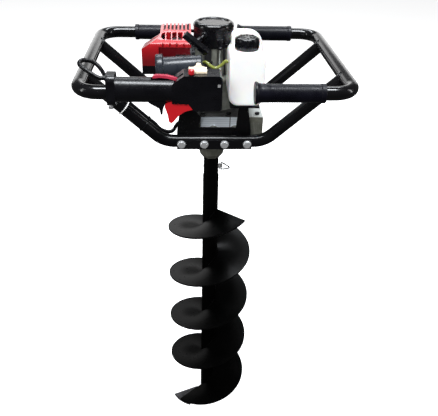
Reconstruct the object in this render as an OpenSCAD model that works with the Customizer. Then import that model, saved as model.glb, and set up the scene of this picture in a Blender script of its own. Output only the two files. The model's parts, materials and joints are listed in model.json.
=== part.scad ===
// Two-stroke earth auger: handle frame, engine, clutch, gearbox and screw bit.
// Origin at the bit's point on the spin axis; +Z up, -Y towards the operator, +X to the right.
// All sizes in millimetres, all angles in degrees.

/* [Auger bit] */
// Length of the bit from its point to the top of its socket
bit_len = 800; // [700:10:1000]
// Outside diameter of the flight
bit_d = 200; // [100:5:250]
// Rise of the flight in one turn
flight_pitch = 137.5; // [110:0.5:160]
// Number of turns of the flight
flight_turns = 4.28; // [3:0.01:4.5]
// Height of the flight's lower end over the point
flight_z = 78; // [70:1:100]
// Angle of the flight's lower end round the axis
flight_angle = 220; // [0:1:359]
// Plate thickness of the flight
flight_t = 4; // [3:0.5:6]
// Outside diameter of the stem
stem_d = 36; // [34:0.5:40]
// Wall of the stem
stem_wall = 3; // [2:0.5:4]
// Outside diameter of the socket on top of the stem
socket_d = 33.5; // [32:0.5:34]
// Length of the socket seen over the stem
socket_len = 47; // [38:1:50]
// Length of the pointed end
point_len = 55; // [40:1:60]
// Radius left at the very point
point_r = 1.5; // [1:0.1:3]
// Angle that the cutting blade stands ahead of the flight
blade_lead = 18; // [10:1:30]
// Angle that the cutting blade laps under the flight
blade_lap = 20; // [10:1:30]
// Thickness of the cutting blade
blade_t = 5; // [4:0.5:8]
// Inner radius of the cutting blade
blade_in = 30; // [24:1:40]
// Diameter of the cross pin
pin_d = 8; // [6:0.5:10]
// Depth of the cross pin under the socket's top
pin_drop = 25; // [22:1:28]
// Wire diameter of the pin's ring
wire_d = 3; // [2.5:0.1:3.5]
// Length of the pin's ring
ring_len = 25; // [22:1:32]

/* [Gearbox] */
// Diameter of the output shaft
shaft_d = 20; // [18:0.5:20]
// Length of the output shaft inside the bit
shaft_in = 58; // [50:1:70]
// Gap between the bit and the neck
neck_gap = 1.5; // [1:0.1:3]
// Length of the neck under the gear case
neck_len = 70.5; // [60:0.5:90]
// Width of the neck across its corners at the top
neck_d = 62; // [56:1:70]
// Width of the neck across its corners at the bottom
neck_low_d = 54; // [52:1:56]
// Height of the gear case
case_h = 42; // [42:0.5:50]
// Floor of the gear case
case_floor = 6; // [5:0.5:8]
// Wall of the gear case beside the wheels
case_wall = 6; // [5:0.5:10]
// Depth of the gear case from front to rear
case_depth = 150; // [140:1:160]
// Thickness of the cover plate
plate_t = 10; // [8:0.5:14]
// Module of the gears
gear_m = 1.4; // [1.3:0.05:1.5]
// Teeth of both pinions
pinion_n = 12; // [12:2:16]
// Teeth of both wheels
wheel_n = 60; // [60:2:64]
// Thickness of the output wheel
out_wheel_t = 12; // [9:0.5:13]
// Thickness of the idler wheel
idler_wheel_t = 9; // [7:0.5:10]
// Diameter of the idler shaft and of the drum shaft
small_shaft_d = 12; // [10:0.5:12]
// Outside diameter of the small ball bearings
small_ball_d = 28; // [26:0.5:30]
// Width of the small ball bearings
small_ball_w = 8; // [7:0.5:8]
// Outside diameter of the large ball bearings
large_ball_d = 42; // [40:0.5:43]
// Width of the large ball bearings
large_ball_w = 12; // [10:0.5:14]

/* [Clutch] */
// Height of the clutch housing over the cover plate
bell_h = 68; // [66:0.5:80]
// Lower radius of the clutch housing
bell_low_r = 56; // [52:0.5:60]
// Upper radius of the clutch housing
bell_top_r = 44; // [43:0.5:48]
// Inner radius of the clutch drum
drum_r = 32; // [30:0.5:33]
// Wall of the clutch drum
drum_wall = 3; // [2:0.5:4]
// Height of the clutch drum
drum_h = 33; // [30:0.5:36]
// Outward travel of each clutch shoe
shoe_travel = 1.5; // [1:0.1:2]
// Height of the clutch shoes
shoe_h = 14; // [10:0.5:16]

/* [Engine] */
// Half the height of the crankcase
crank_half = 30; // [30:0.5:36]
// Outer radius of the crankcase
crankcase_r = 36; // [35:0.5:38]
// Radius of the crank webs
web_r = 25; // [24:0.5:26]
// Thickness of each crank web
web_t = 9; // [7:0.5:9.5]
// Crank radius, half the stroke
throw = 17; // [15:0.5:18]
// Length of the connecting rod between its eyes
rod_len = 62; // [60:0.5:66]
// Thickness of the connecting rod
rod_t = 12; // [10:0.5:12.5]
// Cylinder bore
bore_d = 44; // [40:0.5:46]
// Crank journal diameter
journal_d = 15; // [14:0.5:16]
// Outside diameter of the crank bearings
crank_ball_d = 35; // [34:0.5:37]
// Width of the crank bearings
crank_ball_w = 11; // [10:0.5:12]
// Width and height of the cylinder fins
fin_size = 70; // [64:1:71]
// Thickness of each fin
fin_t = 2.5; // [2:0.1:3]
// Number of fins
fin_n = 7; // [5:1:8]
// Radius of the starter cup
starter_r = 40.5; // [39:0.5:41.5]
// Height of the starter cup
starter_h = 45; // [45:0.5:52]
// Wall of the starter cup
starter_wall = 3.5; // [3:0.25:4]
// Radius of the flywheel
flywheel_r = 32; // [30:0.5:33]
// Radius of the rope groove in the reel
reel_r = 24; // [22:0.5:26]
// Length of the starter grip
pull_len = 57; // [55:1:70]
// Radius of the starter grip
pull_r = 7; // [6.5:0.25:8.5]
// Diameter of the starter rope
rope_d = 3.6; // [3:0.1:4]
// Left end of the red shroud
shroud_left = 141; // [138:0.5:150]
// Right end of the red shroud
shroud_right = 45; // [44:0.5:50]
// Top of the red shroud over the crank centre
shroud_up = 56; // [54:0.5:62]
// Front of the red shroud
shroud_front = 50; // [48:0.5:52]
// Wall of the red shroud
shroud_wall = 2.5; // [2:0.1:3]
// Number of top slots in the shroud
slot_n = 7; // [5:1:8]
// Number of front windows in the shroud
window_n = 5; // [4:1:6]
// Radius of the air cleaner body
filter_r = 22; // [20:0.5:24]
// Radius of the air cleaner's end flange
filter_flange_r = 28; // [26:0.5:30]
// Length of the air cleaner body
filter_len = 73; // [68:1:76]
// Width of the end flange
filter_flange_w = 14; // [10:0.5:16]
// Tilt of the air cleaner, right end up
filter_tilt = 4; // [0:0.5:6]

/* [Fuel tank] */
// Left side of the tank
tank_left = 25; // [25:0.5:30]
// Right side of the tank
tank_right = 92; // [88:0.5:100]
// Front of the tank
tank_front = 130; // [126:0.5:135]
// Height of the tank's bottom over the clutch housing's foot
tank_lift = 46; // [42:0.5:48]
// Height of the tank's front shoulder
tank_shoulder = 100.5; // [96:0.5:106]
// Height of the tank's rear hump
tank_hump = 125; // [118:0.5:130]
// Wall of the tank
tank_wall = 2.5; // [2:0.1:3.5]
// Radius of the filler neck
filler_r = 18; // [16:0.5:19]
// Radius of the fuel cap
cap_r = 23; // [22:0.5:25]
// Height of the fuel cap
cap_h = 24; // [22:0.5:27]
// Diameter of the fuel hose
hose_d = 6; // [5:0.25:6.5]

/* [Handle frame] */
// Outside diameter of all frame tubes
tube_d = 25; // [24:0.5:26]
// Wall of all frame tubes
tube_wall = 2; // [1.5:0.25:3]
// Half the width of the handle frame between tube centres
frame_x = 247; // [240:1:260]
// Half the depth of the handle frame between tube centres
frame_y = 200; // [195:1:205]
// Bend radius of the handle loops
loop_bend = 40; // [35:1:50]
// Height of the loops over the support bars
handle_rise = 133.5; // [130:0.5:141]
// Distance of the support tubes from the middle
support_y = 110; // [109:0.5:114]
// Half the length of the support bar between its corners
support_x = 100; // [98:1:110]
// Bend radius of the support tubes
support_bend = 55; // [40:1:56]
// Height of the support bars over the foot of the gear case
support_lift = 16; // [14:0.5:18]
// Half the length of brackets and strips
bracket_x = 74; // [73:0.5:78]
// Thickness of brackets and strips
bracket_t = 4; // [3:0.5:5]
// Height of the clamp strips
strip_h = 16; // [15:0.5:18]
// Height of the ears over the support bar's centre
ear_up = 67; // [64:0.5:71]
// Diameter of the frame bolts
bolt_d = 8; // [6:0.5:8]
// Distance of the inner bolts from the middle
bolt_in = 20; // [18:0.5:22]
// Distance of the outer bolts from the middle
bolt_out = 65; // [63:0.5:65]
// Length of each grip
grip_len = 126; // [120:1:130]
// Radius of each grip
grip_r = 16.5; // [15:0.25:18]
// Radius of the grip's end flange
grip_flange_r = 20; // [19:0.25:22]
// Inner end of the right grips
grip_in = 65; // [60:1:70]
// Inner end of the rear left grip
grip_left_in = 46; // [42:1:52]

/* [Throttle handle] */
// Front face of the handle case
hand_front = 217; // [215:0.5:217]
// Rear face of the handle case
hand_rear = 175; // [172:0.5:178]
// Left end of the handle case
hand_left = 192; // [188:0.5:198]
// Right end of the handle case
hand_right = 7; // [5:0.5:10]
// Height of the case top over the tube centre
hand_up = 35; // [34:0.5:37]
// Depth of the case bottom under the tube centre
hand_down = 28; // [26:0.5:30]
// Wall of the handle case
hand_wall = 3; // [2.5:0.25:3.5]
// Thickness of the trigger
trigger_t = 14; // [12:0.5:15]
// Width of the lockout lever
lock_w = 8; // [7:0.5:9]
// Diameter of the pivot pins in the handle
pivot_d = 4; // [3:0.25:4.5]
// Diameter of the cable conduit
cable_d = 8; // [7:0.25:8.5]

/* [Fits] */
// Radial running clearance of shafts and pins
run_gap = 0.06; // [0.03:0.01:0.09]
// Radial seat clearance of pressed and clamped pieces
seat_gap = 0.02; // [0.01:0.01:0.04]
// Radial clearance of bolts in their holes
hole_gap = 0.3; // [0.2:0.05:0.4]
// Extra radius of the support tubes in their bends
bend_swell = 0.1; // [0.08:0.01:0.2]
// Gap at welded seams and glued faces
weld_gap = 0.05; // [0.03:0.01:0.1]
// Free space between turning pieces and their housing
air_gap = 1.5; // [1:0.1:1.6]
// Tooth thinning on each flank
tooth_gap = 0.08; // [0.06:0.01:0.12]

/* [Hidden] */
$fn = 48;

// Heights of the stack, from the bit upwards
neck_z = bit_len + neck_gap;
case_z = neck_z + neck_len;
split_z = case_z + case_h;
plate_z = split_z + plate_t;
bell_z = plate_z + bell_h;
crank_z = bell_z + crank_half;
upper_z = crank_z + crank_half;
starter_z = upper_z + starter_h;
bar_z = case_z + support_lift;
handle_z = bar_z + handle_rise;
stem_z = bit_len - socket_len;
shaft_z = bit_len - shaft_in;
pin_z = bit_len - pin_drop;
tank_z = plate_z + tank_lift;

// Radii that several pieces share
stem_r = stem_d / 2;
shaft_r = shaft_d / 2;
small_r = small_shaft_d / 2;
tube_r = tube_d / 2;
bolt_r = bolt_d / 2;
cable_r = cable_d / 2;
rope_r = rope_d / 2;
journal_r = journal_d / 2;

// Gear sizes
addendum = 0.8 * gear_m;
dedendum = 1.05 * gear_m;
pinion_r = gear_m * pinion_n / 2;
wheel_r = gear_m * wheel_n / 2;
idler_x = pinion_r + wheel_r;
cavity_r = wheel_r + addendum + air_gap;
case_right = idler_x + cavity_r + case_wall;
case_left = cavity_r + case_wall;
half_depth = case_depth / 2;
bevel = half_depth / 3;
bevel_x = case_left - bevel;
gear_z = case_z + case_floor + 2.5;
idler_z = gear_z + out_wheel_t + 2.5;
drum_z = plate_z + small_ball_w + 1;

// Directions used by the starter and the cable
pull_at = [-36, -70, crank_z + 49];
exit_a = 243;
exit_z = upper_z + 27;
exit_at = [(starter_r + 7) * cos(exit_a), (starter_r + 7) * sin(exit_a), exit_z];
diag_a = atan2(handle_rise, frame_x - support_x);
diag_tan = support_bend * tan(diag_a / 2);
diag_len = norm([frame_x - support_x, handle_rise]) - diag_tan;
tie_off = tube_r + cable_r + hole_gap;
tie_turn = 48;
bend_lap = 2;

// Shared shapes

// Round bar along X from a to b
module bar_x(a, b, r) {
    translate([a, 0, 0]) rotate([0, 90, 0]) cylinder(h = b - a, r = r);
}

// Round bar along Y from a to b
module bar_y(a, b, r) {
    translate([0, b, 0]) rotate([90, 0, 0]) cylinder(h = b - a, r = r);
}

// Round bar along Z from a to b
module bar_z(a, b, r) {
    translate([0, 0, a]) cylinder(h = b - a, r = r);
}

// Round bar between two points
module bar_pp(p, q, r, r2 = -1) {
    d = q - p;
    translate(p) rotate([0, acos(d[2] / norm(d)), atan2(d[1], d[0])])
        cylinder(h = norm(d), r1 = r, r2 = r2 < 0 ? r : r2);
}

// Box between two corners
module box(p, q) {
    translate(p) cube(q - p);
}

// Outline in X and Z, carried from y = a to y = b
module on_y(a, b) {
    translate([0, b, 0]) rotate([90, 0, 0]) linear_extrude(b - a) children();
}

// Outline in Y and Z, carried from x = a to x = b
module on_x(a, b) {
    translate([a, 0, 0]) rotate([90, 0, 90]) linear_extrude(b - a) children();
}

// Rectangle with round corners between two corners
module rrect(p, q, r) {
    translate(p + [r, 0]) square(q - p - [2 * r, 0]);
    translate(p + [0, r]) square(q - p - [0, 2 * r]);
    for (x = [p[0] + r, q[0] - r], y = [p[1] + r, q[1] - r]) translate([x, y]) circle(r);
}

function unit(v) = v / norm(v);

// Smooth line through hand-placed points, k steps between two of them
function spline(p, k) = [for (i = [0 : len(p) - 2], j = [0 : k - 1])
    let (t = j / k, a = p[max(i - 1, 0)], b = p[i], c = p[i + 1], d = p[min(i + 2, len(p) - 1)])
    0.5 * (2 * b + (c - a) * t + (2 * a - 5 * b + 4 * c - d) * t * t
        + (3 * b - a - 3 * c + d) * t * t * t), p[len(p) - 1]];

// Closed skin over rings of n points each
module skin(rings, n) {
    m = len(rings);
    polyhedron(points = [for (r = rings, p = r) p], convexity = 6, faces = concat(
        [[for (j = [0 : n - 1]) j]],
        [for (i = [0 : m - 2], j = [0 : n - 1]) let (k = (j + 1) % n)
            each [[i * n + j, (i + 1) * n + j, (i + 1) * n + k], [i * n + j, (i + 1) * n + k, i * n + k]]],
        [[for (j = [n - 1 : -1 : 0]) (m - 1) * n + j]]));
}

// Round tube of radius r along a line of points
module hose(p, r, n = 10) {
    m = len(p);
    t = [for (i = [0 : m - 1]) unit(p[min(i + 1, m - 1)] - p[max(i - 1, 0)])];
    u = [for (i = 0, v = unit(cross([0.31, 0.52, 0.79], t[0])); i < m; i = i + 1,
        v = i < m ? unit(v - (v * t[i]) * t[i]) : v) v];
    skin([for (i = [0 : m - 1]) let (w = cross(t[i], u[i]))
        [for (j = [0 : n - 1]) p[i] + r * (cos(360 * j / n) * u[i] + sin(360 * j / n) * w)]], n);
}

// Helical plate from angle a0 to a1 whose underside stands at z0 + rise per turn
module helix(a0, a1, z0, ri, ro, t) {
    m = ceil((a1 - a0) / 7.5);
    skin([for (i = [0 : m]) let (a = a0 + (a1 - a0) * i / m, z = z0 + flight_pitch * (a - flight_angle) / 360)
        [[ri * cos(a), ri * sin(a), z], [ri * cos(a), ri * sin(a), z + t],
         [ro * cos(a), ro * sin(a), z + t], [ro * cos(a), ro * sin(a), z]]], 4);
}

// Involute tooth angle at radius r on base circle rb
function inv(r, rb) = let (c = sqrt(max(r * r / (rb * rb) - 1, 0))) c * 180 / PI - atan(c);

// Spur gear with its first tooth turned by a
module gear(n, h, a) {
    rp = gear_m * n / 2;
    rb = rp * cos(25);
    half = 90 / n - tooth_gap / rp * 180 / PI;
    rs = [rp - dedendum, max(rb, rp - 0.5 * dedendum), rp, rp + addendum];
    ws = [for (r = rs) half + inv(rp, rb) - inv(r, rb)];
    linear_extrude(h) polygon([for (i = [0 : n - 1]) each concat(
        [for (j = [0 : 3]) let (b = a + 360 * i / n - ws[j]) rs[j] * [cos(b), sin(b)]],
        [for (j = [3 : -1 : 0]) let (b = a + 360 * i / n + ws[j]) rs[j] * [cos(b), sin(b)]])]);
}

// Ball bearing from height z, as one ring
module ball(x, z, d_out, d_in, w) {
    translate([x, 0, z]) difference() {
        cylinder(h = w, r = d_out / 2);
        translate([0, 0, -1]) cylinder(h = w + 2, r = d_in / 2 + run_gap);
    }
}

// Hex or cap screw standing on the XY plane, shank downwards
module screw(d, len, head, high, sides = 6) {
    cylinder(h = high, r = head, $fn = sides == 6 ? 6 : 48);
    translate([0, 0, -len]) cylinder(h = len + 0.5, r = d / 2);
}

// Auger bit

module auger_tube() {
    color("#202022") difference() {
        union() {
            cylinder(h = point_len, r1 = point_r, r2 = stem_r);
            bar_z(point_len, stem_z, stem_r);
            bar_z(stem_z, bit_len, socket_d / 2);
        }
        bar_z(point_len + 6, shaft_z - 6, stem_r - stem_wall);
        bar_z(shaft_z - 1, bit_len + 1, shaft_r + seat_gap);
        translate([0, 0, pin_z]) bar_x(-stem_d, stem_d, pin_d / 2 + run_gap);
    }
}

module auger_flight() {
    color("#1c1c1e") helix(flight_angle, flight_angle + 360 * flight_turns, flight_z - flight_t / 2,
        stem_r / cos(3.75) + weld_gap, bit_d / 2, flight_t);
}

module cutting_blade() {
    color("#55565a") helix(flight_angle - blade_lead, flight_angle + blade_lap,
        flight_z - flight_t / 2 - blade_t - weld_gap, blade_in, bit_d / 2, blade_t);
}

module hitch_pin() {
    color("#8c8d90") difference() {
        union() {
            translate([0, 0, pin_z]) bar_x(-socket_d / 2 - 0.5, socket_d / 2 + 9, pin_d / 2);
            translate([0, 0, pin_z]) bar_x(socket_d / 2 + 1, socket_d / 2 + 3.5, pin_d / 2 + 3);
        }
        translate([socket_d / 2 + 6, 0, pin_z]) bar_z(-pin_d, pin_d, wire_d / 2 + run_gap);
    }
}

module pin_ring() {
    a = socket_d / 2 + 6;
    w = pin_d / 2 + 2.5 + wire_d / 2;
    r = wire_d / 2;
    tip = [a + ring_len - 6, 0, pin_z - 2];
    color("#18181a") {
        translate([a, 0, pin_z]) bar_z(-w - r, w + r, r);
        for (s = [-1, 1]) bar_pp([a, 0, pin_z + s * w], tip + [0, 0, 2 * s], r);
        translate(tip) bar_z(-2 - r, 2 + r, r);
    }
}

// Gearbox

module case_outline() {
    polygon([[-case_left, -half_depth + bevel], [-bevel_x, -half_depth], [case_right, -half_depth],
        [case_right, half_depth], [-bevel_x, half_depth], [-case_left, half_depth - bevel]]);
}

module gear_space() {
    circle(cavity_r);
    translate([idler_x, 0]) circle(cavity_r);
    translate([0, -cavity_r + 6]) square([idler_x, 2 * cavity_r - 12]);
}

boss_x = [0, 43];
boss_z = bar_z + 10;

module gearbox_case() {
    color("#a7aaa8") difference() {
        union() {
            translate([0, 0, case_z]) linear_extrude(case_h) case_outline();
            rotate(22.5) translate([0, 0, neck_z]) {
                cylinder(h = 10, r1 = neck_low_d / 2 - 8, r2 = neck_low_d / 2, $fn = 8);
                translate([0, 0, 10]) cylinder(h = 16, r1 = neck_low_d / 2, r2 = neck_d / 2, $fn = 8);
                translate([0, 0, 26]) cylinder(h = neck_len - 25, r = neck_d / 2, $fn = 8);
            }
            on_y(-4, 4) polygon([[neck_d / 2 - 6, case_z - 30], [neck_d / 2 - 6, case_z + 1], [idler_x - 4, case_z + 1]]);
            translate([idler_x, 0, 0]) bar_z(case_z - 5, case_z + 1, small_ball_d / 2 + 4);
            for (x = boss_x) translate([x, 0, boss_z])
                bar_y(-support_y + tube_r + bracket_t, support_y - tube_r - bracket_t, 9);
        }
        translate([0, 0, case_z + case_floor]) linear_extrude(case_h) gear_space();
        for (s = [-1, 1]) for (x = [-bevel_x + 8, idler_x + 4])
            box([x, s * (half_depth - 13) - 8, case_z - 1], [x + 44, s * (half_depth - 13) + 8, split_z - 8]);
        bar_z(neck_z - 1, case_z + case_h, shaft_r + 3);
        bar_z(neck_z + 12, neck_z + 12 + large_ball_w, large_ball_d / 2 + seat_gap);
        bar_z(case_z + case_floor - large_ball_w, case_z + case_h, large_ball_d / 2 + seat_gap);
        translate([idler_x, 0, 0])
            bar_z(case_z + case_floor - small_ball_w, case_z + case_h, small_ball_d / 2 + seat_gap);
        for (p = plate_screws) translate(p) bar_z(split_z - 14, split_z + 1, 3 + seat_gap);
        for (x = boss_x, s = [-1, 1]) translate([x, 0, boss_z])
            bar_y(s * (support_y - 24) - 11, s * (support_y - 24) + 11, 3 + seat_gap);
    }
}

plate_screws = [[case_right - 12, -half_depth + 9], [case_right - 12, half_depth - 9],
    [idler_x - 20, -half_depth + 9], [idler_x - 20, half_depth - 9],
    [-bevel_x + 4, -half_depth + 9], [-bevel_x + 4, half_depth - 9]];
bell_screws = [for (a = [0, 90, 235, 320]) (bell_top_r + 1) * [cos(a), sin(a)]];
cup_angles = [20, 125, 285];
cup_screws = [for (a = cup_angles) (starter_r + 4) * [cos(a), sin(a)]];

module clutch_housing() {
    color("#9a9e98") difference() {
        union() {
            translate([0, 0, split_z]) linear_extrude(plate_t) case_outline();
            translate([0, 0, plate_z - 0.5]) cylinder(h = bell_h - 6.5, r1 = bell_low_r, r2 = bell_top_r);
            bar_z(bell_z - 7, bell_z, bell_top_r + 6);
            translate([idler_x, 0, 0]) bar_z(split_z - 7.5, split_z + 1, small_ball_d / 2 + 4);
            for (p = plate_screws) translate(p) bar_z(plate_z - 1, plate_z + 3, 7);
        }
        bar_z(split_z - 1, bell_z, small_r + 4);
        bar_z(drum_z - 2 * small_ball_w - 2, drum_z + 1, small_ball_d / 2 + seat_gap);
        bar_z(drum_z - 1, bell_z - 17, drum_r + drum_wall + 3);
        bar_z(bell_z - 18, bell_z + 1, 26);
        translate([idler_x, 0, 0]) {
            bar_z(split_z - 8.5, split_z, small_ball_d / 2 + seat_gap);
            bar_z(split_z - 1, split_z + 2, small_r + 2);
        }
        for (p = plate_screws) translate(p) bar_z(split_z - 1, plate_z + 4, 3 + hole_gap);
        for (p = bell_screws) translate(p) bar_z(bell_z - 6, bell_z + 1, 2.5 + seat_gap);
    }
}

module ball_bearings() {
    color("#c8c9cb") {
        ball(0, neck_z + 12, large_ball_d, shaft_d, large_ball_w);
        ball(0, case_z + case_floor - large_ball_w, large_ball_d, shaft_d, large_ball_w);
        ball(idler_x, case_z + case_floor - small_ball_w, small_ball_d, small_shaft_d, small_ball_w);
        ball(idler_x, split_z - small_ball_w, small_ball_d, small_shaft_d, small_ball_w);
        for (i = [1, 2]) ball(0, drum_z - 1 - i * small_ball_w, small_ball_d, small_shaft_d, small_ball_w);
        for (z = [bell_z + 2.5, upper_z - 2.5 - crank_ball_w])
            ball(0, z, crank_ball_d, journal_d, crank_ball_w);
    }
}

module output_shaft() {
    color("#b4b5b8") difference() {
        union() {
            bar_z(shaft_z, gear_z + 1, shaft_r);
            translate([0, 0, gear_z]) gear(wheel_n, out_wheel_t, 180 / wheel_n);
        }
        translate([0, 0, pin_z]) bar_x(-stem_d, stem_d, pin_d / 2 + run_gap);
    }
}

module idler_gear() {
    color("#b4b5b8") translate([idler_x, 0, 0]) {
        translate([0, 0, gear_z - 1]) gear(pinion_n, out_wheel_t + 2, 180 - 180 * (1 - pinion_n % 2));
        bar_z(case_z + case_floor - small_ball_w, split_z - 0.5, small_r);
        translate([0, 0, idler_z]) gear(wheel_n, idler_wheel_t, 180 + 180 / wheel_n);
    }
}

module clutch_drum() {
    color("#8d8e92") difference() {
        union() {
            bar_z(idler_z - 1, drum_z + 1, small_r);
            translate([0, 0, idler_z - 1]) gear(pinion_n, idler_wheel_t + 2, 0);
            bar_z(drum_z + 0.5, drum_z + drum_h, drum_r + drum_wall);
        }
        bar_z(drum_z + 4.5, drum_z + drum_h + 1, drum_r);
    }
}

shoe_z = drum_z + 11;

module clutch_rotor() {
    color("#77787c") difference() {
        union() {
            bar_z(shoe_z - 2, shoe_z + shoe_h + 2, 10);
            box([-7, -22, shoe_z + 1], [7, 22, shoe_z + shoe_h - 1]);
        }
        bar_z(shoe_z - 3, shoe_z + shoe_h + 3, 6 + seat_gap);
    }
}

module clutch_shoe() {
    translate([0, 0, shoe_z]) linear_extrude(shoe_h) difference() {
        intersection() {
            circle(drum_r - shoe_travel - 0.4);
            translate([-drum_r, 3]) square([2 * drum_r, drum_r]);
        }
        circle(10.6);
        translate([-7.2, 0]) square([14.4, 22.4]);
    }
}

module clutch_shoe_a() {
    color("#3b3c40") clutch_shoe();
}

module clutch_shoe_b() {
    color("#3b3c40") rotate([0, 0, 180]) clutch_shoe();
}

// Engine

web_z0 = crank_z - rod_t / 2 - 0.6;
web_z1 = crank_z + rod_t / 2 + 0.6;
space_r = web_r + air_gap;
space_h = crank_half - 2.5 - crank_ball_w;
barrel_x = crankcase_r + 1;
head_x = throw + rod_len + 21;

module crankshaft() {
    color("#a5a6aa") {
        bar_z(shoe_z + shoe_h + 2.2, web_z0, journal_r);
        bar_z(shoe_z - 2, shoe_z + shoe_h + 3, 6);
        bar_z(web_z0 - web_t, web_z0, web_r);
        bar_z(web_z1, web_z1 + web_t, web_r);
        bar_z(web_z1, upper_z + 14, journal_r);
    }
}

module connecting_rod() {
    color("#b9babd") difference() {
        union() {
            translate([-throw, 0, 0]) bar_z(crank_z - rod_t / 2, crank_z + rod_t / 2, 12);
            translate([-throw - rod_len, 0, 0]) bar_z(crank_z - rod_t / 2, crank_z + rod_t / 2, 8);
            box([-throw - rod_len, -4, crank_z - rod_t / 2 + 1], [-throw, 4, crank_z + rod_t / 2 - 1]);
        }
        translate([-throw - rod_len, 0, 0]) bar_z(crank_z - rod_t, crank_z + rod_t, 5 + run_gap);
    }
}

module piston() {
    color("#c4c5c8") {
        difference() {
            translate([0, 0, crank_z]) bar_x(-head_x + 2, -throw - rod_len + 17, bore_d / 2 - run_gap);
            translate([0, 0, crank_z]) bar_x(-head_x + 8, -throw - rod_len + 18, bore_d / 2 - 4);
        }
        translate([-throw - rod_len, 0, 0]) bar_z(crank_z - bore_d / 2 + 2, crank_z + bore_d / 2 - 2, 5);
    }
}

module case_half(z0, z1) {
    difference() {
        union() {
            bar_z(z0, z1, crankcase_r);
            box([-barrel_x, -31, max(z0, crank_z - 28)], [0, 31, min(z1, crank_z + 28)]);
            for (a = [-110 : 15 : -50]) rotate(a)
                box([crankcase_r - 2, -1.5, z0 + 6], [crankcase_r + 3, 1.5, z1 - 1]);
            for (a = cup_angles) rotate(a) box([20, -5, z0], [starter_r + 4, 5, z1]);
            for (a = cup_angles) rotate(a) translate([starter_r + 4, 0, 0]) bar_z(z0, z1, 5);
        }
        bar_z(bell_z - 1, upper_z + 1, journal_r + 4);
        bar_z(bell_z + 2.5, upper_z - 2.5, crank_ball_d / 2 + seat_gap);
        bar_z(crank_z - space_h, crank_z + space_h, space_r);
        translate([0, 0, crank_z]) bar_x(-barrel_x - 1, 0, bore_d / 2 + 4 + seat_gap);
        for (p = cup_screws) translate(p) bar_z(upper_z - 12, upper_z + 1, 2 + seat_gap);
        children();
    }
}

module crankcase_lower() {
    color("#b3b6b3") union() {
        case_half(bell_z + weld_gap, crank_z - weld_gap);
        difference() {
            bar_z(bell_z + weld_gap, bell_z + 6, bell_top_r + 6);
            bar_z(bell_z - 1, bell_z + 7, crankcase_r - 2);
            for (p = bell_screws) translate(p) bar_z(bell_z - 1, bell_z + 7, 2.5 + hole_gap);
            translate([0, 0, crank_z]) bar_x(-barrel_x - 20, -barrel_x, bore_d / 2 + 6 + hole_gap);
            translate([0, 0, crank_z]) bar_x(-barrel_x - 1, 0, bore_d / 2 + 4 + seat_gap);
        }
    }
}

module crankcase_upper() {
    color("#b3b6b3") {
        case_half(crank_z, upper_z);
        difference() {
            box([-10, crankcase_r - 8, upper_z - 9], [10, starter_r + 14, upper_z]);
            bar_z(upper_z - 10, upper_z + 1, crankcase_r - 4);
        }
    }
}

module cylinder_node() {
    fin_x = bell_top_r + 6 + air_gap;
    fin_gap = (head_x + 6 - fin_x - fin_t) / (fin_n - 1);
    color("#26272a") difference() {
        union() {
            translate([0, 0, crank_z]) bar_x(-barrel_x - 8, -barrel_x + 6, bore_d / 2 + 4);
            on_x(-barrel_x - 6, -barrel_x) rrect([-31, crank_z - 23], [31, crank_z + 23], 5);
            translate([0, 0, crank_z]) bar_x(-head_x - 6, -barrel_x, bore_d / 2 + 6);
            for (i = [0 : fin_n - 1]) on_x(-fin_x - fin_t - i * fin_gap, -fin_x - i * fin_gap)
                rrect([-fin_size / 2, crank_z - fin_size / 2], [fin_size / 2, crank_z + fin_size / 2], 10);
            on_y(-fin_size / 2 - 1, fin_size / 2 + 1)
                rrect([-66, crank_z - 14], [-54, crank_z + 14], 5);
        }
        translate([0, 0, crank_z]) bar_x(-head_x, 0, bore_d / 2);
        translate([0, 0, crank_z]) bar_x(-head_x - 8, 0, 7 + seat_gap);
        for (s = [-1, 1]) translate([-60, 0, crank_z])
            bar_y(s * 31 - 12, s * 31 + 12, 5);
    }
}

module spark_plug() {
    color("#d9d8d2") translate([0, 0, crank_z]) {
        bar_x(-head_x - 7, -head_x + 1, 7);
        bar_x(-head_x - 12, -head_x - 6.5, 9);
        bar_x(-head_x - 28, -head_x - 11, 4.5);
    }
}

module plug_lead() {
    color("#141416") {
        difference() {
            translate([0, 0, crank_z]) bar_x(-head_x - 33, -head_x - 14, 7.5);
            translate([0, 0, crank_z]) bar_x(-head_x - 30, -head_x - 13, 4.5 + run_gap);
        }
        hose(spline([[-14.2, 48, crank_z + 40], [-21, 48, crank_z + 40], [-28, 48, crank_z + 40],
            [-46, 40, crank_z + 45], [-68, 26, crank_z + 47], [-92, 6, crank_z + 44], [-104, -9, crank_z + 41],
            [-113, -8, crank_z + 31.5], [-120, -3, crank_z + 18.5], [-head_x - 26, 0, crank_z + 8]], 4), 3.2, 8);
    }
}

module ignition_coil() {
    color("#1a1a1d") {
        box([-14, starter_r + 1, upper_z + weld_gap], [14, starter_r + 18, upper_z + 16]);
        box([-14, starter_r - 7, upper_z + 6], [-8, starter_r + 1.5, upper_z + 12]);
        box([8, starter_r - 7, upper_z + 6], [14, starter_r + 1.5, upper_z + 12]);
    }
}

module flywheel() {
    color("#8f9094") difference() {
        union() {
            bar_z(upper_z + 3, upper_z + 11, flywheel_r);
            bar_z(upper_z + 1.5, upper_z + 13, 12);
        }
        bar_z(upper_z, upper_z + 15, journal_r + seat_gap);
        for (a = [0 : 30 : 330]) rotate(a) translate([21, 0, 0]) bar_z(upper_z, upper_z + 15, 4);
    }
}

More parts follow.
